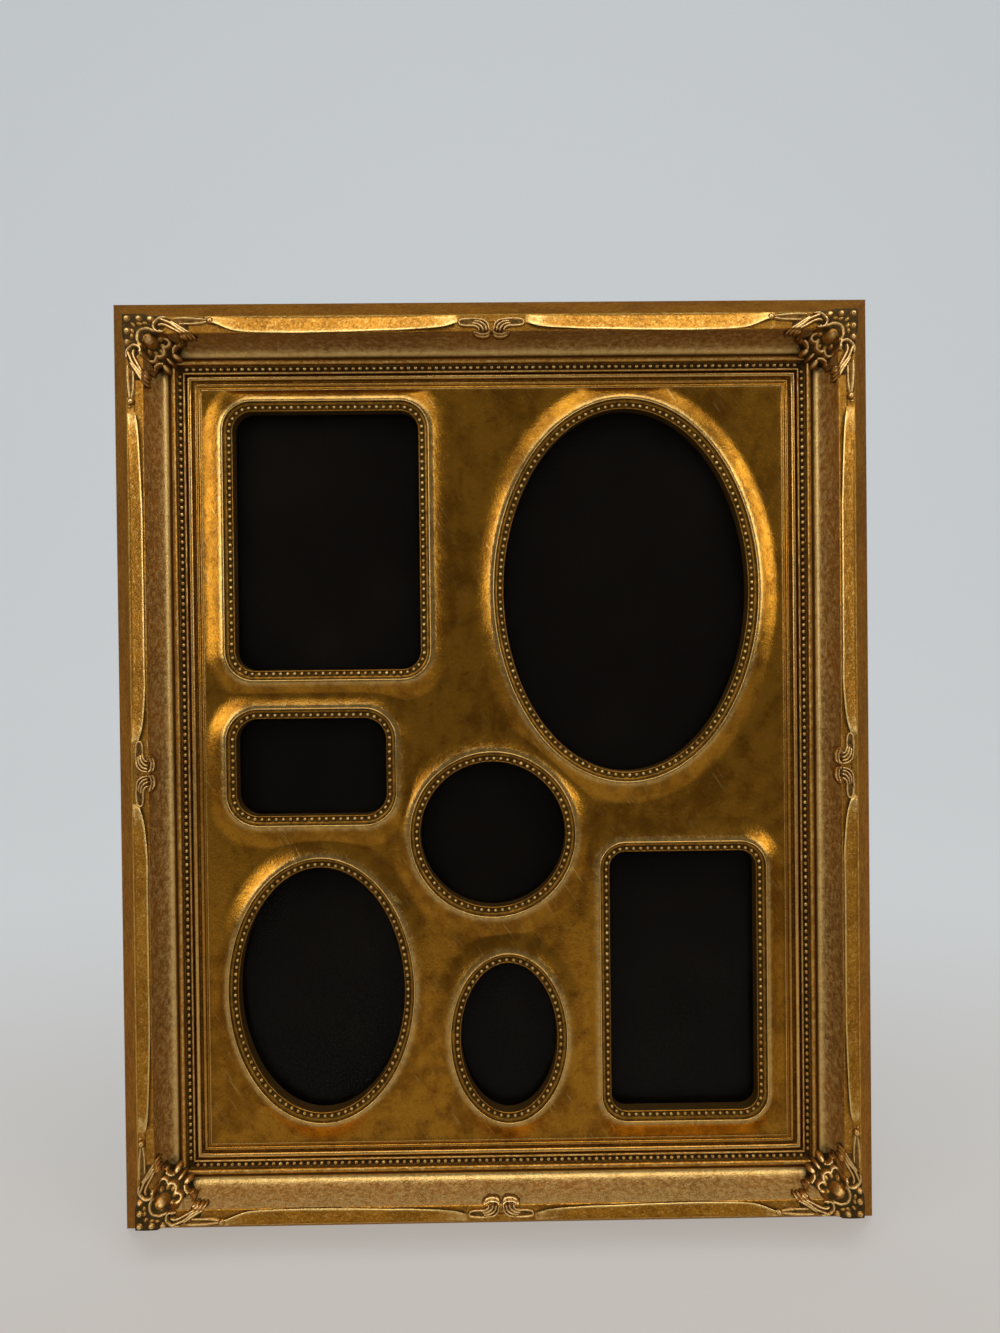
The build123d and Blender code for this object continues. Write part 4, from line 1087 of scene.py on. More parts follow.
@dataclass
class Rails:
    """Four mitred rails with their swept blades, and the slips inside them."""

    gold: Material
    wood_across: Material
    wood_up: Material
    moulding: Moulding = field(default_factory=Moulding)
    overrun: float = 15.0
    spacing: float = 1.3
    fine_reach: float = 10.0
    fine_spacing: float = 0.5
    slip_columns: int = 200

    def blade(self, side: Side) -> Blade:
        """The blade of one rail's halves.

        Args:
            side: the rail.

        Returns:
            Its blade, the same on both halves.
        """
        if side.level:
            return Blade(
                119.1, 14.3, 6.9,
                (0.0, 0.03, 0.08, 0.12, 0.20, 0.34, 0.56, 0.77, 0.85, 0.91, 0.96, 1.0),
                (0.30, 0.40, 0.69, 0.85, 0.93, 1.0, 0.95, 0.87, 0.80, 0.75, 0.66, 0.45),
            )
        return Blade(
            151.0, 12.6, 6.2,
            (0.0, 0.02, 0.08, 0.20, 0.30, 0.83, 0.89, 0.94, 0.97, 1.0),
            (0.50, 0.66, 0.76, 0.88, 0.95, 0.95, 0.86, 0.76, 0.64, 0.42),
        )

    def stations(self, side: Side, blade: Blade) -> Array:
        """Where the section stands along a rail, closer at the blade's ends.

        Args:
            side: the rail.
            blade: its blade.

        Returns:
            Shares from -1 at one mitre to 1 at the other.
        """
        half = side.along / 2 + self.overrun
        marks = list(np.arange(0, half, self.spacing))
        for end in (blade.start, blade.end):
            marks += list(np.arange(end - self.fine_reach, end + self.fine_reach / 3, self.fine_spacing))
        marks = np.array(sorted(marks)) / half
        marks = np.concatenate([marks[marks < 0.996], [0.9975, 1.0]])
        return np.concatenate([-marks[::-1][:-1], marks])

    def make_rail(self, side: Side) -> None:
        """Build one rail in place of its CAD node.

        Args:
            side: the rail.
        """
        moulding, blade = self.moulding, self.blade(side)
        marks = self.stations(side, blade)
        section = RailSection(side, blade, moulding)
        rows = section.rows()

        def place(s: Array, t: Array) -> Array:
            """Lay the grid along the rail and round its section."""
            share = np.interp(s, np.linspace(0, 1, len(marks)), marks)
            number = np.rint(t * len(rows)).astype(int) % len(rows)
            points = np.zeros((len(s), 5))
            for index, row in enumerate(rows):
                pick = number == index
                points[pick] = section.points(row, share[pick])
            return points

        def raw(centre: Vector) -> bool:
            """Whether a face is bare wood: the back, or the rabbet's step."""
            u = max(abs(centre.x) - SIGHT_WIDTH / 2, abs(centre.y) - SIGHT_HEIGHT / 2)
            stepped = u < moulding.rabbet + 0.1 and centre.z < moulding.lip_back + 0.1
            return centre.z < -RAIL_BACK + 0.1 or stepped

        bm = closed(laid_grid(len(marks) - 1, len(rows), place))
        name = f"{side.label}_rail"
        wood = self.wood_across if side.level else self.wood_up
        slot = "gilt_moulding"
        Piece(f"gilt_{name}", self.gold, slot, [name], angle=30, other=wood, other_faces=raw).make(bm)

    def make(self) -> None:
        """Build all four rails and slips."""
        for side in Side:
            self.make_rail(side)
            name = f"{side.label}_slip"
            slip = mitred(side, self.moulding.slip_rows(), self.slip_columns)
            Piece(f"gilt_{name}", self.gold, "gilt_moulding", [name], angle=30).make(slip)


# Pearls


class Pearls:
    """Many small beads in one mesh, from one squashed ball of a few dozen faces."""

    def __init__(self, radius: float, flat: float) -> None:
        """Make the ball.

        Args:
            radius: of the ball before it is squashed.
            flat: share of its height that stays.
        """
        bm = bmesh.new()
        bmesh.ops.create_uvsphere(bm, u_segments=8, v_segments=6, radius=radius)
        relief = bm.verts.layers.float.new("relief")
        for vert in bm.verts:
            vert[relief] = 0.28 + 0.64 * max(vert.co.z / radius, 0.0)
            vert.co.z *= flat
        self.ball = meshed("pearl", bm)

    def strung(self, places: Sequence[Sequence[float]]) -> Geometry:
        """Beads at plan places.

        Args:
            places: x, y and rise of each bead's middle.

        Returns:
            The beads as one mesh.
        """
        bm = bmesh.new()
        rng = np.random.default_rng(len(places))
        for place in places:
            copy = self.ball.copy()
            size = 1 + rng.uniform(-0.05, 0.05)
            turn = Matrix.Rotation(rng.uniform(0, pi), 4, "Z")
            copy.transform(Matrix.Translation(place) @ turn @ Matrix.Scale(size, 4))
            bm.from_mesh(copy)
            bpy.data.meshes.remove(copy)
        return bm


@dataclass
class PearlStrips:
    """Bead strips pressed into the rails' grooves."""

    gold: Material
    inner: float = 0.95
    outer: float = 3.65
    floor: float = -0.4
    top: float = 0.1
    radius: float = 1.08
    pitch: float = 3.0

    columns: int = 60

    def rows(self) -> list[Row]:
        """Section of the strip, a channel that the beads sit in.

        Returns:
            Place, rise and relief of each row.
        """
        return [
            (self.inner, self.floor, 0.0),
            (self.inner, self.top + 0.2, 0.3),
            (self.inner + 0.22, self.top + 0.16, 0.25),
            (self.inner + 0.4, self.top - 0.1, 0.0),
            (self.outer - 0.4, self.top - 0.1, 0.0),
            (self.outer - 0.22, self.top + 0.16, 0.2),
            (self.outer, self.top + 0.2, 0.25),
            (self.outer, self.floor, 0.0),
        ]

    def make(self) -> None:
        """Build one strip and its beads for each rail."""
        pearls = Pearls(self.radius, 0.9)
        middle = (self.inner + self.outer) / 2
        for side in Side:
            bm = mitred(side, self.rows(), self.columns)
            run = side.along + 2 * middle
            count = round(run / self.pitch)
            along = (np.arange(1, count) / count - 0.5) * run
            across, up = side.turned(along, np.full(len(along), side.across + middle))
            joined(bm, pearls.strung([(x, y, self.top) for x, y in zip(across, up)]))
            node = f"{side.label}_pearl_strip"
            Piece(f"beaded_{node}", self.gold, "gilt_pearls", [node], angle=60).make(bm)


# Carved ornaments


@dataclass
class Relief:
    """Height field of a carved ornament over the moulding."""

    ground: Callable[[Array, Array], Array]
    x: Array
    y: Array
    steps: int = 8
    sink: float = 0.35

    def __post_init__(self) -> None:
        """Start with nothing carved."""
        self.base = self.ground(self.x, self.y)
        self.height = np.zeros(len(self.x))
        self.bright = np.zeros(len(self.x))

    def curve(self, points: Line) -> Array:
        """Smooth line through points.

        Args:
            points: x, y and, if given, extra height.

        Returns:
            x, y and extra height of each place.
        """
        p = np.array([(*point, 0.0)[:3] for point in points], float)
        p = np.vstack([2 * p[0] - p[1], p, 2 * p[-1] - p[-2]])
        t = np.linspace(0, 1, self.steps, endpoint=False)[:, None]
        parts = []
        for a, b, c, d in zip(p, p[1:], p[2:], p[3:]):
            bend, twist = 2 * a - 5 * b + 4 * c - d, 3 * b - a - 3 * c + d
            parts.append(0.5 * (2 * b + (c - a) * t + bend * t**2 + twist * t**3))
        return np.vstack(parts + [p[-2][None]])

    def nearest(self, line: Array) -> tuple[Array, Array, Array]:
        """Find the nearest place of a line from each point.

        Args:
            line: x, y and extra height of its places.

        Returns:
            Distance to the line, share along it and extra height there.
        """
        best = np.full(len(self.x), np.inf)
        share = np.zeros(len(self.x))
        extra = np.zeros(len(self.x))
        count = len(line) - 1
        for k in range(count):
            ax, ay, az = line[k]
            bx, by, bz = line[k + 1]
            dx, dy = bx - ax, by - ay
            t = np.clip(((self.x - ax) * dx + (self.y - ay) * dy) / max(dx * dx + dy * dy, 1e-9), 0, 1)
            d = np.hypot(self.x - ax - t * dx, self.y - ay - t * dy)
            near = d < best
            best = np.where(near, d, best)
            share = np.where(near, (k + t) / count, share)
            extra = np.where(near, az + t * (bz - az), extra)
        return best, share, extra

    def ridge(self, width: float, rise: float, points: Line, taper: float = 0.35) -> None:
        """Rounded ridge along a smooth line.

        Args:
            width: half its width.
            rise: its height.
            points: the line.
            taper: share by which it narrows towards both ends.
        """
        d, share, extra = self.nearest(self.curve(points))
        ends = 1 - taper * (2 * np.abs(share - 0.5)) ** 4
        q = np.clip(1 - (d / (width * ends)) ** 2, 0, 1)
        top = (rise * ends + extra) * np.sqrt(q)
        self.height = np.maximum(self.height, top)
        self.bright = np.maximum(self.bright, np.sqrt(q) * (d < width))

    def swell(self, width: float, rise: float, points: Line, tone: float = 0.25) -> None:
        """Soft rounded body that carries ridges.

        Args:
            width: half its width.
            rise: its height.
            points: its middle line.
            tone: its relief.
        """
        d, _, extra = self.nearest(self.curve(points))
        q = np.clip(1 - d / width, 0, 1)
        soft = q * q * (3 - 2 * q)
        self.height = np.maximum(self.height, (rise + extra) * np.minimum(1, 1.7 * soft))
        self.bright = np.maximum(self.bright, tone * (q > 0.05))

    def dome(
        self, x: float, y: float, length: float, width: float, rise: float,
        turn: float = 0.0, tone: float = 1.0,
    ) -> None:
        """Oval dome.

        Args:
            x: its middle, across.
            y: its middle, upwards.
            length: of the oval.
            width: of the oval.
            rise: its height.
            turn: angle of its length to X, in degrees.
            tone: relief of its top.
        """
        c, s = cos(radians(turn)), sin(radians(turn))
        a = ((self.x - x) * c + (self.y - y) * s) / (length / 2)
        b = (-(self.x - x) * s + (self.y - y) * c) / (width / 2)
        q = np.clip(1 - a * a - b * b, 0, 1)
        self.height = np.maximum(self.height, rise * np.sqrt(q))
        self.bright = np.maximum(self.bright, tone * np.sqrt(q))

    def points(self) -> Array:
        """x, y, rise and relief of each point; bare ground lies sunk in the moulding."""
        rise = self.base + np.where(self.height > 0, self.height, -self.sink)
        return np.column_stack([self.x, self.y, rise, self.bright])


def carved(bm: Geometry, lift: Array, floor: float, tuck: Tuck) -> Geometry:
    """Keep what stands above the moulding and close it below.

    Args:
        bm: the laid grid.
        lift: height of each point above the moulding, zero where it is bare.
        floor: rise of the hidden underside.
        tuck: where the skirt of an overhanging edge turns down.

    Returns:
        The closed relief.
    """
    bare = {vert for vert, value in zip(bm.verts, lift) if value <= 0}
    bmesh.ops.delete(bm, geom=[f for f in bm.faces if bare.issuperset(f.verts)], context="FACES")
    bmesh.ops.delete(bm, geom=[v for v in bm.verts if not v.link_faces], context="VERTS")
    return based(bm, floor, tuck)


@dataclass
class Casting(ABC):
    """Ornament cast from one carved design and set on the rails."""

    gold: Material
    moulding: Moulding = field(default_factory=Moulding)
    cell: float = 0.2
    rooted: float = 12.7
    skirt: float = 0.7
    floor: float = 0.0

    @abstractmethod
    def ground(self, x: Array, y: Array) -> Array:
        """Rise that the casting stands on, at places outwards from the sight edge."""

    @abstractmethod
    def carve(self, relief: Relief) -> None:
        """Cut the whole design."""

    def cast(self, node: str, spans: Line, laid: Callable[[Array, Array], tuple], tuck: Tuck) -> None:
        """Carve the design and build it in place of its CAD node.

        Args:
            node: the CAD node.
            spans: lowest and highest x, and lowest and highest y, of the carved field.
            laid: gives the plan places of the field's points.
            tuck: where the skirt of an overhanging edge turns down.
        """
        kept: dict[str, Array] = {}
        (left, right), (low, high) = spans

        def place(s: Array, t: Array) -> Array:
            """Lay the grid over the field and raise the carving on it."""
            x, y = left + (right - left) * s, low + (high - low) * t
            relief = Relief(self.ground, x, y)
            self.carve(relief)
            kept["lift"] = relief.height
            points = relief.points()
            points[:, 0], points[:, 1] = laid(x, y)
            return points

        columns, rows = (round((end - start) / self.cell) for start, end in spans)
        bm = carved(laid_grid(columns, rows, place), kept["lift"], self.floor, tuck)
        Piece(f"carved_{node}", self.gold, "gilt_ornament", [node], angle=75).make(bm)


@dataclass
class CornerOrnaments(Casting):
    """Cast corner ornaments: shell and boss, pearls, pods, scrolls, leaves and stems."""

    low: float = -18.4
    high: float = 20.6
    floor: float = -1.2
    arm_foot: float = 2.8
    mitre_edge: float = -0.5
    blend: float = 0.8

    def ground(self, x: Array, y: Array) -> Array:
        """Rise that the casting stands on: the moulding, bridged across the mitre.

        Args:
            x: distances outwards from the sight corner.
            y: the same, upwards.

        Returns:
            The rise at each place.
        """
        rail = self.moulding.rise_at(np.maximum(x, y))
        bridge = np.minimum(18.3 - 1.72 * (12.3 - (x + y) / 2), 17.2)
        near = np.clip(1.3 - np.abs(x - y) / 11.0, 0, 1) * (np.minimum(x, y) > -2)
        bridge = np.where(near > 0, bridge - 8 * (1 - np.minimum(1, near * 2.2)), -50.0)
        tips = (np.minimum(x, y) < -2.8) & (np.maximum(x, y) > 10.2)
        rail = np.where(tips, np.maximum(rail, 17.0 - 1.9 * np.clip(12.9 - np.maximum(x, y), 0, 9)), rail)
        top = np.maximum(rail, bridge)
        return top + self.blend * np.exp(-np.abs(rail - bridge) / self.blend) * 0.35 * (bridge > -20)

    def carve(self, relief: Relief) -> None:
        """Cut the whole design; the second arm is the first with x and y swapped.

        Args:
            relief: the height field that it is cut in.
        """
        self.carve_shell(relief)
        for swap in (False, True):
            self.carve_arm(relief, swap)
        relief.dome(18.0, -18.0, 1.4, 1.4, 0.7)
        kept = np.maximum(relief.x, relief.y) > self.mitre_edge
        relief.height = np.where(kept, relief.height, 0)

    def carve_shell(self, relief: Relief) -> None:
        """Cut the shell with its boss, lobes and pearls, and the pods below it.

        Args:
            relief: the height field that it is cut in.
        """
        relief.swell(8.8, 0.55, [(13.5, 13.5), (16.0, 16.0)], 0.05)
        relief.swell(6.6, 0.5, [(8.5, 8.5), (10.5, 10.5)], 0.05)
        relief.swell(4.2, 0.5, [(17.6, 6.0), (17.6, 13.0)], 0.05)
        relief.swell(4.2, 0.5, [(6.0, 17.6), (13.0, 17.6)], 0.05)
        relief.dome(9.9, 9.9, 4.7, 5.6, 2.3, 45, 0.85)
        for turn in (150, 185, 220, 255, 290, 325):
            spot = (9.6 + 3.9 * cos(radians(turn + 2)), 9.7 + 3.9 * sin(radians(turn + 2)))
            relief.dome(*spot, 2.0, 1.5, 0.95, turn, 0.8)
        lobes = (
            [(12.4, 4.4), (12.1, 3.3), (11.0, 2.8), (9.8, 3.5), (9.0, 5.1)],
            [(9.0, 5.1), (7.6, 5.2), (6.3, 6.2), (5.7, 7.4), (6.0, 8.7)],
            [(6.0, 8.7), (4.6, 9.2), (3.4, 10.4), (3.6, 11.5), (4.8, 11.9)],
        )
        for row in lobes:
            relief.ridge(0.72, 1.25, row, 0.2)
        shoulder = [
            (13.2, 5.2), (13.6, 7.6), (14.3, 10.0), (14.0, 12.4),
            (12.8, 13.8), (10.2, 14.3), (7.6, 13.6), (5.2, 13.0),
        ]
        relief.ridge(0.6, 1.0, shoulder, 0.2)
        for place in ((18.6, 18.6), (13.6, 18.5), (8.8, 18.4), (18.5, 13.4), (18.5, 8.7)):
            relief.dome(*place, 2.9, 2.9, 1.75)
        seeds = ((15.9, 15.9, 45), (13.4, 16.3, 20), (11.2, 16.5, 0), (16.3, 13.4, 70), (16.5, 11.2, 90))
        for x, y, turn in seeds:
            relief.dome(x, y, 2.3, 1.4, 1.15, turn, 0.85)
        relief.dome(6.3, 1.2, 4.0, 2.9, 2.5, 62)
        relief.dome(4.5, 4.0, 4.0, 2.0, 2.2, 45)
        relief.dome(1.9, 6.0, 3.8, 2.9, 2.5, 28)

    def carve_arm(self, relief: Relief, swap: bool) -> None:
        """Cut one arm: curl, leaves, hook and stems.

        Args:
            relief: the height field that it is cut in.
            swap: whether x and y are swapped, for the arm along the other rail.
        """

        def laid(line: Line) -> Line:
            """Line of this arm."""
            return [(row[1], row[0], *row[2:]) for row in line] if swap else line

        leaf, stem = (0.68, 1.35), (0.55, 0.95)
        lines = (
            (leaf, [(7.4, 3.0), (8.9, 2.4), (10.3, 1.2), (11.2, -0.6), (11.5, -2.6), (11.3, -4.4)]),
            (leaf, [(11.2, -8.6), (12.4, -7.3), (14.0, -4.8), (15.7, -2.2), (17.3, 0.2)]),
            (leaf, [(11.2, -6.9), (12.5, -5.3), (14.3, -2.6), (16.3, 0.0), (17.5, 2.6), (18.5, 5.0)]),
            (leaf, [(11.5, -4.9), (12.7, -3.1), (14.2, -0.5), (15.5, 2.0), (16.1, 4.0), (15.9, 5.4)]),
            ((0.66, 1.45), [
                (13.2, 3.6), (12.9, 5.2), (13.7, 6.8), (15.2, 7.4),
                (16.9, 7.0), (18.2, 5.8), (18.9, 4.2), (18.9, 2.4),
            ]),
            (stem, [(18.5, -1.0), (18.6, -4.5), (18.4, -9.0), (17.9, -14.2)]),
            (stem, [(16.3, -3.4), (16.2, -7.0), (16.4, -11.0), (17.0, -14.2)]),
        )
        for (width, rise), line in lines:
            relief.ridge(width, rise, laid(line), 0.25)
        relief.swell(2.0, 0.5, laid([(14.3, -5.2), (15.0, -2.8), (16.0, -0.4), (17.0, 2.6)]), 0.08)
        relief.swell(1.9, 0.4, laid([(17.4, -3.0), (17.4, -13.0)]), 0.2)
        for x, y, size, rise in ((17.5, -15.9, 3.0, 1.7), (13.1, 4.9, 2.1, 1.7), (11.3, -4.9, 1.8, 1.6)):
            relief.dome(*laid([(x, y)])[0], size, size, rise)

    def make(self) -> None:
        """Build the casting on all four corners, mirrored."""
        edge_x, edge_y = SIGHT_WIDTH / 2 + self.rooted, SIGHT_HEIGHT / 2 + self.rooted
        for corner in Corner:

            def tuck(co: Vector) -> Row:
                """Move the skirt under an arm's overhanging edge onto the rail's face."""
                x, y = abs(co.x), abs(co.y)
                if y < SIGHT_HEIGHT / 2 - self.arm_foot and x < edge_x:
                    x = edge_x
                elif x < SIGHT_WIDTH / 2 - self.arm_foot and y < edge_y:
                    y = edge_y
                return corner.value[0] * x, corner.value[1] * y, co.z - self.skirt

            spans = [(self.low, self.high)] * 2
            self.cast(f"corner_ornament_{corner.label}", spans, corner.placed, tuck)


@dataclass
class CentreOrnaments(Casting):
    """Pair of leaf sprigs on the middle of each rail."""

    reach: float = 15.0
    inner: float = 10.2
    outer: float = 19.2
    floor: float = 4.0

    def ground(self, x: Array, y: Array) -> Array:
        """Rise that the casting stands on, drawn out over the cove's top edge.

        Args:
            x: distances from the rail's middle.
            y: distances from the sight edge.

        Returns:
            The rise at each place.
        """
        rail = self.moulding.rise_at(y)
        shelf = 17.0 - 1.5 * np.clip(12.9 - y, 0, 9)
        return np.maximum(rail, np.where(np.abs(x) < 10, shelf, rail))

    def carve(self, relief: Relief) -> None:
        """Cut both sprigs.

        Args:
            relief: the height field that they are cut in.
        """
        for way in (-1, 1):
            self.carve_sprig(relief, way)

    def carve_sprig(self, relief: Relief, way: int) -> None:
        """Cut one sprig: body, loop, ribs, curls and two berries.

        Args:
            relief: the height field that it is cut in.
            way: -1 for the sprig on the left, 1 for the one on the right.
        """

        def laid(line: Line) -> Line:
            """Line of this sprig."""
            return [(way * x, y) for x, y in line]

        relief.swell(2.2, 0.5, laid([(2.8, 13.9), (4.6, 14.9), (7.5, 15.9)]), 0.08)
        relief.swell(1.7, 0.4, laid([(7.0, 16.0), (12.6, 16.0)]), 0.15)
        loop = [(5.4, 17.3), (8.5, 17.5), (12.4, 17.2), (13.5, 16.4), (13.2, 15.2), (11.5, 14.7), (8.6, 14.6)]
        relief.ridge(0.52, 0.95, laid(loop), 0.1)
        ribs = (
            [(8.4, 14.7), (6.8, 14.4), (5.5, 13.5), (5.2, 12.5)],
            [(7.6, 15.6), (5.6, 15.2), (4.0, 14.0), (3.5, 12.6)],
            [(7.0, 16.5), (4.6, 16.1), (2.7, 14.7), (2.1, 12.9)],
            [(5.4, 17.3), (3.2, 16.8), (1.5, 15.2), (0.9, 13.0)],
        )
        for rib in ribs:
            relief.ridge(0.52, 1.1, laid(rib), 0.2)
        curl = [(0.9, 12.3), (1.6, 11.8), (3.0, 11.6), (4.8, 11.6), (6.6, 12.1)]
        for drop in (0.0, 0.85):
            relief.ridge(0.46, 1.0, laid([(x, y - drop) for x, y in curl]), 0.15)
        relief.dome(way * 7.1, 12.0, 1.7, 1.7, 1.2)
        relief.dome(way * 1.0, 12.0, 1.3, 1.3, 1.1)

    def make(self) -> None:
        """Build one casting for each rail."""
        for side in Side:
            rooted = side.across + self.rooted

            def placed(x: Array, y: Array) -> tuple[Array, Array]:
                """Plan places on this rail."""
                return side.turned(x, side.across + y)

            def tuck(co: Vector) -> Row:
                """Move the skirt under an overhanging edge onto the rail's face."""
                x, y = co.x, co.y
                if side.level:
                    y = np.copysign(max(abs(y), rooted), y)
                else:
                    x = np.copysign(max(abs(x), rooted), x)
                return x, y, co.z - self.skirt

            spans = ((-self.reach, self.reach), (self.inner, self.outer))
            self.cast(f"centre_ornament_{side.label}", spans, placed, tuck)


# Collage mat


@dataclass
class Window:
    """One opening of the mat, oval or with rounded corners."""

    oval: bool
    width: float
    height: float
    x: float
    y: float
    corner: float = 0.0
    bead_line: float = 1.5
    paced: float = 2.0
    farthest: float = 400.0
    halvings: int = 26

    def distance(self, x: Array, y: Array) -> Array:
        """How far plan places lie outside the window's edge.

        Args:
            x: plan places, across.
            y: the same, upwards.

        Returns:
            The distances, below zero inside.
        """
        px, py = np.abs(x - self.x), np.abs(y - self.y)
        a, b = self.width / 2, self.height / 2
        if not self.oval:
            qx, qy = px - a + self.corner, py - b + self.corner
            out = np.hypot(np.maximum(qx, 0), np.maximum(qy, 0))
            return out + np.minimum(np.maximum(qx, qy), 0) - self.corner
        low = np.full(len(px), -0.9 * min(a, b))
        high = np.full(len(px), self.farthest)
        for _ in range(self.halvings):
            grow = (low + high) / 2
            outside = (px / (a + grow)) ** 2 + (py / (b + grow)) ** 2 > 1
            low = np.where(outside, grow, low)
            high = np.where(outside, high, grow)
        return (low + high) / 2

    def outline(self, share: Array, growth: Union[float, Array]) -> tuple[Array, Array]:
        """Places on the window's edge, grown outwards, at even paces.

        Args:
            share: shares of the way round.
            growth: how far outwards the edge is grown.

        Returns:
            Their plan places.
        """
        a, b = self.width / 2, self.height / 2
        if self.oval:
            fine = np.linspace(0, 2 * pi, 1441)
            across, up = (a + self.paced) * np.cos(fine), (b + self.paced) * np.sin(fine)
            way = np.concatenate([[0], np.cumsum(np.hypot(np.diff(across), np.diff(up)))])
            turn = np.interp(share % 1.0, way / way[-1], fine)
            return self.x + (a + growth) * np.cos(turn), self.y + (b + growth) * np.sin(turn)
        r = self.corner
        arc, across, up = pi / 2 * (r + self.paced), self.width - 2 * r, self.height - 2 * r
        marks = np.cumsum([0, up / 2, arc, across, arc, up, arc, across, arc, up / 2])
        spot = (share % 1.0) * marks[-1]
        turns = np.interp(spot, marks, np.array([0, 0, 1, 1, 2, 2, 3, 3, 4, 4]) * pi / 2)
        mid_x = np.interp(spot, marks, np.array([1, 1, 1, -1, -1, -1, -1, 1, 1, 1]) * (a - r))
        mid_y = np.interp(spot, marks, np.array([0, 1, 1, 1, 1, -1, -1, -1, -1, 0]) * (b - r))
        return (
            self.x + mid_x + (r + growth) * np.cos(turns),
            self.y + mid_y + (r + growth) * np.sin(turns),
        )

    def way_round(self) -> float:
        """Length of the bead line."""
        x, y = self.outline(np.linspace(0, 1, 721), self.bead_line)
        return float(np.sum(np.hypot(np.diff(x), np.diff(y))))


@dataclass
class CollageMat:
    """Moulded mat: bordered field, seven collars with beaded rims, and the flange."""

    gold: Material
    rim_gold: Material
    bead_gold: Material
    cell: float = 0.95
    rim: float = 4.8
    collar: float = 9.4
    fall: float = 1.55
    crest: float = 0.10
    collar_rise: float = 2.6
    field_inset: float = 6.9
    plain_tone: float = 0.46
    painted_rim_highlight: float = 0.38
    blend: float = 0.45
    blend_share: float = 0.35
    edge_fade: float = 1.2
    thickness: float = 2.0
    back: float = -5.3
    overlap: float = 0.35
    cutter_reach: float = 3.0
    cutter_sides: int = 160
    border_columns: int = 40
    rim_pitch: float = 1.6
    bead_pitch: float = 3.05
    bead_radius: float = 0.96
    bead_drop: float = 1.35
    windows: tuple[Window, ...] = (
        Window(False, 80.7, 112.6, -72.6, 98.8, 8.3),
        Window(True, 107.1, 158.5, 57.6, 75.8),
        Window(False, 65.2, 42.4, -80.5, 0.3, 9.6),
        Window(True, 63.6, 63.6, -1.7, -30.1),
        Window(True, 72.4, 107.4, -77.2, -97.4),
        Window(True, 42.4, 65.7, 4.4, -119.5),
        Window(False, 64.3, 113.9, 81.3, -95.5, 7.0),
    )

    @property
    def half(self) -> tuple[float, float]:
        """Half the width and height of the field inside the border."""
        return SIGHT_WIDTH / 2 - self.field_inset, SIGHT_HEIGHT / 2 - self.field_inset

    def height(self, x: Array, y: Array) -> tuple[Array, Array]:
        """Shape of the field with its collars.

        Args:
            x: plan places, across.
            y: the same, upwards.

        Returns:
            Rise and relief at each place.
        """
        total = np.zeros(len(x))
        tone = np.full(len(x), self.plain_tone)
        for window in self.windows:
            s = np.clip((window.distance(x, y) - self.rim) / self.collar, 0, 1)
            rise = self.collar_rise * np.minimum((1 - s) ** self.fall, 1 - self.crest * (1 - s) ** 6)
            soft = self.blend_share * np.exp(-np.abs(total - rise) / self.blend)
            total = np.maximum(total, rise) + soft * np.minimum(total, rise)
            # Painted highlight: the collars are brightened towards the rims, where the lamps' highlight lies.
            tone = np.maximum(tone, self.plain_tone + self.painted_rim_highlight * np.clip(1.05 - 1.5 * s, 0, 1))
        edge = np.minimum(self.half[0] - np.abs(x), self.half[1] - np.abs(y))
        fade = np.clip(edge / self.edge_fade, 0, 1)
        return total * fade * (2 - fade), tone - 0.2 * np.clip(1 - edge / 2.5, 0, 1)

    def cutters(self) -> bpy.types.Object:
        """Prisms of the seven windows, in one object.

        Returns:
            The object that cuts.
        """
        bm = bmesh.new()
        low = -self.cutter_reach
        for window in self.windows:
            share = np.arange(self.cutter_sides) / self.cutter_sides
            x, y = window.outline(share, self.rim - self.overlap)
            face = bm.faces.new([bm.verts.new((px, py, low)) for px, py in zip(x, y)])
            geom = bmesh.ops.extrude_face_region(bm, geom=[face])["geom"]
            top = [part for part in geom if isinstance(part, bmesh.types.BMVert)]
            bmesh.ops.translate(bm, verts=top, vec=(0, 0, -2 * low))
        bmesh.ops.recalc_face_normals(bm, faces=bm.faces)
        return linked("window_cutters", meshed("window_cutters", bm))

    def pierced(self) -> Geometry:
        """Flat slab of the field with the seven windows cut out.

        Returns:
            The slab, its top at zero.
        """
        half_x, half_y = self.half
        columns, rows = round(2 * half_x / self.cell), round(2 * half_y / self.cell)

        def place(s: Array, t: Array) -> Array:
            """Lay the grid flat over the field."""
            flat = np.zeros(len(s))
            return np.column_stack([(2 * s - 1) * half_x, (2 * t - 1) * half_y, flat, flat])

        slab = linked("field", meshed("field", based(laid_grid(columns, rows, place), -self.thickness)))
        cutter = self.cutters()
        cut = slab.modifiers.new("windows", "BOOLEAN")
        cut.operation, cut.solver, cut.object = "DIFFERENCE", "EXACT", cutter
        graph = bpy.context.evaluated_depsgraph_get()
        cleaned = bpy.data.meshes.new_from_object(slab.evaluated_get(graph))
        result = bmesh.new()
        result.from_mesh(cleaned)
        for thing in (slab, cutter):
            bpy.data.objects.remove(thing)
        bpy.data.meshes.remove(cleaned)
        return result

    def make_field(self) -> Geometry:
        """Field with its collars.

        Returns:
            The field, closed below.
        """
        bm = self.pierced()
        layer = bm.verts.layers.float.get("relief") or bm.verts.layers.float.new("relief")
        plan = np.array([vert.co[:2] for vert in bm.verts])
        rise, tone = self.height(plan[:, 0], plan[:, 1])
        for vert, up, value in zip(bm.verts, rise, tone):
            vert[layer] = value
            if vert.co.z > -self.thickness / 2:
                vert.co.z = up
        return bm

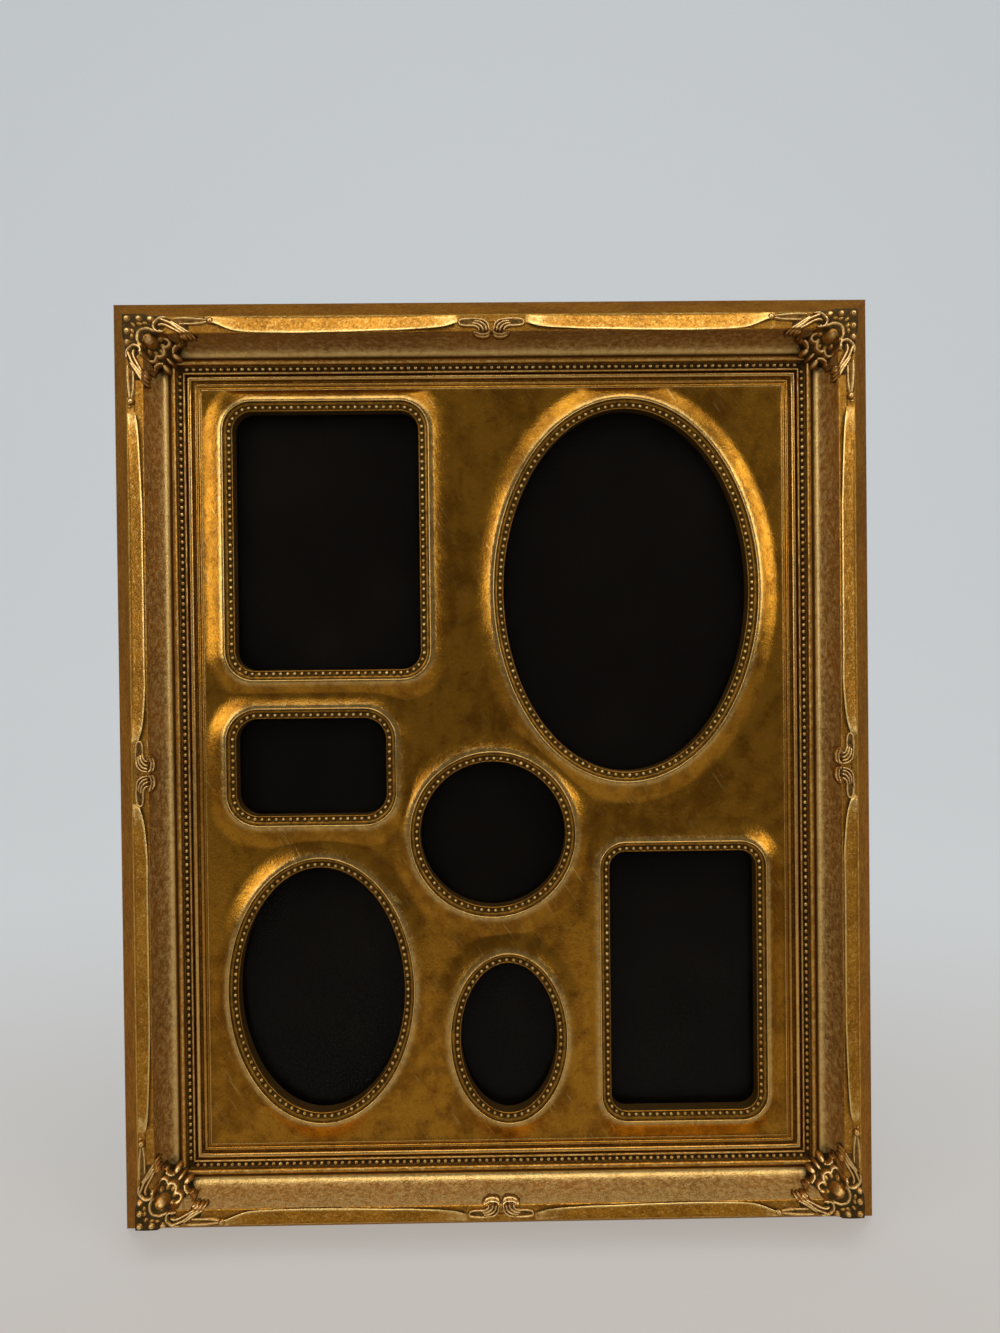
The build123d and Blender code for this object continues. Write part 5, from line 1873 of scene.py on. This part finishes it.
    def border_rows(self) -> list[Row]:
        """Section of the border inwards from the sight edge, with the flange under the lip.

        Returns:
            Inset, rise and relief of each row.
        """
        back = self.back
        rows = [(-5.9, back, 0.1), (-5.9, -3.35, 0.1), (0.3, -3.35, 0.0), (0.35, -0.7, 0.05)]
        rows += half_round((0.4, -0.6, 0.42), (1.1, 1.1, 0.5), 8)
        rows += [(2.75, -0.9, 0.12), (3.1, -0.95, 0.2), (3.4, -0.9, 0.12)]
        rows += half_round((3.5, -0.75, 0.38), (0.85, 0.75, 0.42), 6)
        rows += [(5.3, -0.72, 0.25), (5.7, -0.62, 0.42), (6.15, -0.58, 0.2), (6.3, -0.3, 0.3)]
        rows += [(6.45, 0.0, 0.85), (6.65, 0.12, 0.95), (6.9, 0.04, 0.7), (7.3, -0.3, 0.3), (7.3, back, 0.1)]
        return rows

    def make_border(self) -> Geometry:
        """Mitred border with its ridges.

        Returns:
            The border, closed all round.
        """
        rows = self.border_rows()
        columns = self.border_columns
        marks = np.concatenate([np.linspace(-1, 1, columns + 1)[:-1] for _ in Side])
        steps = len(marks)

        def place(s: Array, t: Array) -> Array:
            """Lay the grid round the four sides and round the section."""
            section = section_at(rows, t)
            spot = np.rint(s * steps).astype(int) % steps
            turn, share = spot // columns, marks[spot]
            points = np.zeros((len(s), 4))
            points[:, 2:] = section[:, 1:]
            for number, side in enumerate((Side.TOP, Side.RIGHT, Side.BOTTOM, Side.LEFT)):
                pick = turn == number
                x = share[pick] * (side.along / 2 - section[pick, 0])
                points[pick, 0], points[pick, 1] = side.turned(x, side.across - section[pick, 0])
            return points

        return closed(laid_grid(steps, len(rows), place))

    def rim_rows(self) -> list[Row]:
        """Section of a window's rim, down from the collar to the window's edge.

        Returns:
            Distance outside the edge, rise and relief of each row.
        """
        outer, top = self.rim, self.collar_rise
        rows = [(outer + 0.1, -1.2, 0.1), (outer - 0.02, -0.4, 0.0), (outer - 0.12, -0.5, 0.0)]
        rows += half_round((4.69, -0.45, 0.15), (-0.34, 0.55, 0.85), 6)
        rows += [(3.85, -0.9, 0.1), (3.3, -0.95, 0.28), (2.8, -1.1, 0.2), (2.5, -1.5, 0.05)]
        rows += [(1.5, -1.65, 0.12), (0.75, -1.75, 0.05), (0.62, -1.7, 0.1)]
        rows += half_round((0.58, -1.75, 0.1), (-0.26, 0.5, 0.6), 6)
        # From here the inner wall down to the back has relief 0 and takes the dark glaze: painted shade for
        # the shadow inside the window's edge.
        rows += [(0.03, -2.1, 0.0)]
        rows = [(spot, top + rise, tone) for spot, rise, tone in rows]
        return rows + [(0.0, self.back, 0.0), (outer + 0.1, self.back, 0.0)]

    def make_rims(self) -> Geometry:
        """Rims of the seven windows.

        Returns:
            The rims as one mesh.
        """
        rows = self.rim_rows()
        whole = bmesh.new()
        for window in self.windows:

            def place(s: Array, t: Array) -> Array:
                """Lay the grid round the window and round its rim's section."""
                section = section_at(rows, t)
                x, y = window.outline(s, section[:, 0])
                return np.column_stack([x, y, section[:, 1:]])

            steps = max(96, round(window.way_round() / self.rim_pitch))
            joined(whole, closed(laid_grid(steps, len(rows), place)))
        return whole

    def make_beads(self) -> Geometry:
        """Bead lines of the seven windows.

        Returns:
            The beads as one mesh.
        """
        places = []
        for window in self.windows:
            count = round(window.way_round() / self.bead_pitch)
            x, y = window.outline(np.arange(count) / count, window.bead_line)
            places += [(px, py, self.collar_rise - self.bead_drop) for px, py in zip(x, y)]
        return Pearls(self.bead_radius, 0.95).strung(places)

    def make(self) -> None:
        """Build the mat's pieces in place of its CAD node."""
        node = ["collage_mat"]
        Piece("mat_field", self.gold, "gilt_mat", node, angle=50).make(self.make_field())
        Piece("mat_border", self.rim_gold, "gilt_mat", node, angle=50).make(self.make_border())
        Piece("mat_window_rims", self.rim_gold, "gilt_mat", node, angle=60).make(self.make_rims())
        Piece("mat_window_beads", self.bead_gold, "gilt_mat", node, angle=70).make(self.make_beads())


# Fittings, glazing and studio


@dataclass
class Fittings:
    """The CAD nodes that keep their shape and get their finish here."""

    steel: Plate = Plate("plated_steel", (0.66, 0.65, 0.62), (0.42, 0.40, 0.37), 0.32)
    brass: Plate = Plate("brass_plate", (0.78, 0.55, 0.22), (0.50, 0.33, 0.12))

    def make(self) -> None:
        """Dress each node."""
        finishes = {
            self.brass: (
                "turn_button_1", "turn_button_2", "turn_button_3", "turn_button_4", "turn_button_screws",
                "hanger_strap_left", "hanger_strap_right", "hanger_ring_left", "hanger_ring_right",
                "hanger_screws",
            ),
            self.steel: (
                "board_hinge_leaf", "leg_hinge_leaf", "hinge_pin", "board_hinge_rivets",
                "leg_hinge_rivets", "corner_nails",
            ),
            SuedePaper("suede_paper"): ("backboard", "easel_leg"),
            Card("black_card"): ("backing_card",),
            ClearGlass("clear_glass"): ("glass_pane",),
        }
        for finish, nodes in finishes.items():
            material = finish.material()
            for node in nodes:
                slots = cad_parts[node].data.materials
                slots.clear()
                slots.append(material)
                log.info("%s: dressed", node)


@dataclass
class Studio:
    """Pale floor and backdrop, soft lamps and the photograph's camera."""

    camera: Row = (-2.2, 47.1, 420.4)
    ahead: Row = (0.01047, -0.00925, -1.0)
    up: Row = (0.01117, 1.0, -0.00925)
    lens: float = 25.93
    film_height: float = 36.0
    wall: float = 0.75
    sweep: float = 0.09
    reach: float = 2.4
    floor_gap: float = 0.0002
    sky: Row = (0.84, 0.83, 0.81, 1.0)
    sky_level: float = 0.24
    aim: Row = (0, 0, 0.2)
    lamps: tuple = (
        ("top_softbox", (0.05, -0.35, 1.15), (1.1, 0.7), 2.7),
        ("left_softbox", (-0.95, -0.80, 0.72), (0.45, 0.75), 4.0),
        ("right_softbox", (0.98, -0.78, 0.76), (0.45, 0.75), 3.8),
    )

    def make_camera(self) -> None:
        """Set the camera that took the photograph."""
        data = bpy.data.cameras.new("camera")
        data.sensor_fit = "VERTICAL"
        data.sensor_height = self.film_height
        data.lens = self.lens
        data.clip_start = 0.01
        camera = linked("camera", data)
        turn = standing().to_3x3() * (1 / MM)
        back = -(turn @ Vector(self.ahead)).normalized()
        side = (turn @ Vector(self.up)).cross(back).normalized()
        axes = Matrix((side, back.cross(side), back)).transposed().to_4x4()
        camera.matrix_world = Matrix.Translation(standing() @ Vector(self.camera)) @ axes
        bpy.context.scene.camera = camera

    def make_stage(self) -> None:
        """Floor that sweeps up into the backdrop."""
        bm = bmesh.new()
        bmesh.ops.create_grid(bm, x_segments=2, y_segments=60, size=1.0)
        flat = self.reach + self.wall
        arc = self.sweep * pi / 2
        for vert in bm.verts:
            way = (vert.co.y / 2 + 0.5) * (flat + arc + self.reach) - self.reach
            turn = min(max((way - self.wall) / self.sweep, 0), pi / 2)
            y = min(way, self.wall) + self.sweep * sin(turn)
            z = self.sweep * (1 - cos(turn)) + max(way - self.wall - arc, 0)
            vert.co = (vert.co.x * self.reach, y, z - self.floor_gap)
        mesh = meshed("studio_sweep", bm)
        mesh.shade_smooth()
        mesh.materials.append(Backdrop().material())
        linked("studio_sweep", mesh)

    def make_lamp(self, name: str, place: Row, size: Row, level: float) -> None:
        """Softbox aimed at the frame.

        Args:
            name: name of the lamp.
            place: where it stands, in metres.
            size: its width and height.
            level: how bright it looks.
        """
        data = bpy.data.lights.new(name, "AREA")
        data.shape = "RECTANGLE"
        data.size, data.size_y = size
        data.energy = pi * size[0] * size[1] * level
        turn = (Vector(self.aim) - Vector(place)).to_track_quat("-Z", "Y").to_matrix().to_4x4()
        linked(name, data).matrix_world = Matrix.Translation(place) @ turn

    def make_world(self) -> None:
        """Even soft light from all round."""
        world = bpy.data.worlds.new("world")
        bpy.context.scene.world = world
        world.use_nodes = True
        inputs = world.node_tree.nodes["Background"].inputs
        inputs["Color"].default_value = self.sky
        inputs["Strength"].default_value = self.sky_level

    def make(self) -> None:
        """Build it all."""
        self.make_camera()
        self.make_stage()
        self.make_world()
        for lamp in self.lamps:
            self.make_lamp(*lamp)
        bpy.context.scene.view_settings.view_transform = "Standard"
        log.info("studio: camera, floor and lamps")


def main() -> None:
    """Build the pieces in order, from the rails to the studio."""
    golds = (RAIL_GOLD, ORNAMENT_GOLD, PEARL_GOLD, MAT_GOLD, RIM_GOLD)
    gold, carving, copper, mat_gold, rim_gold = (finish.material() for finish in golds)
    wood_across = RawWood("stained_wood_across", False).material()
    wood_up = RawWood("stained_wood_upright", True).material()
    Rails(gold, wood_across, wood_up).make()
    PearlStrips(copper).make()
    CornerOrnaments(carving).make()
    CentreOrnaments(carving).make()
    CollageMat(mat_gold, rim_gold, copper).make()
    Fittings().make()
    Studio().make()


if __name__ == "__main__":
    main()
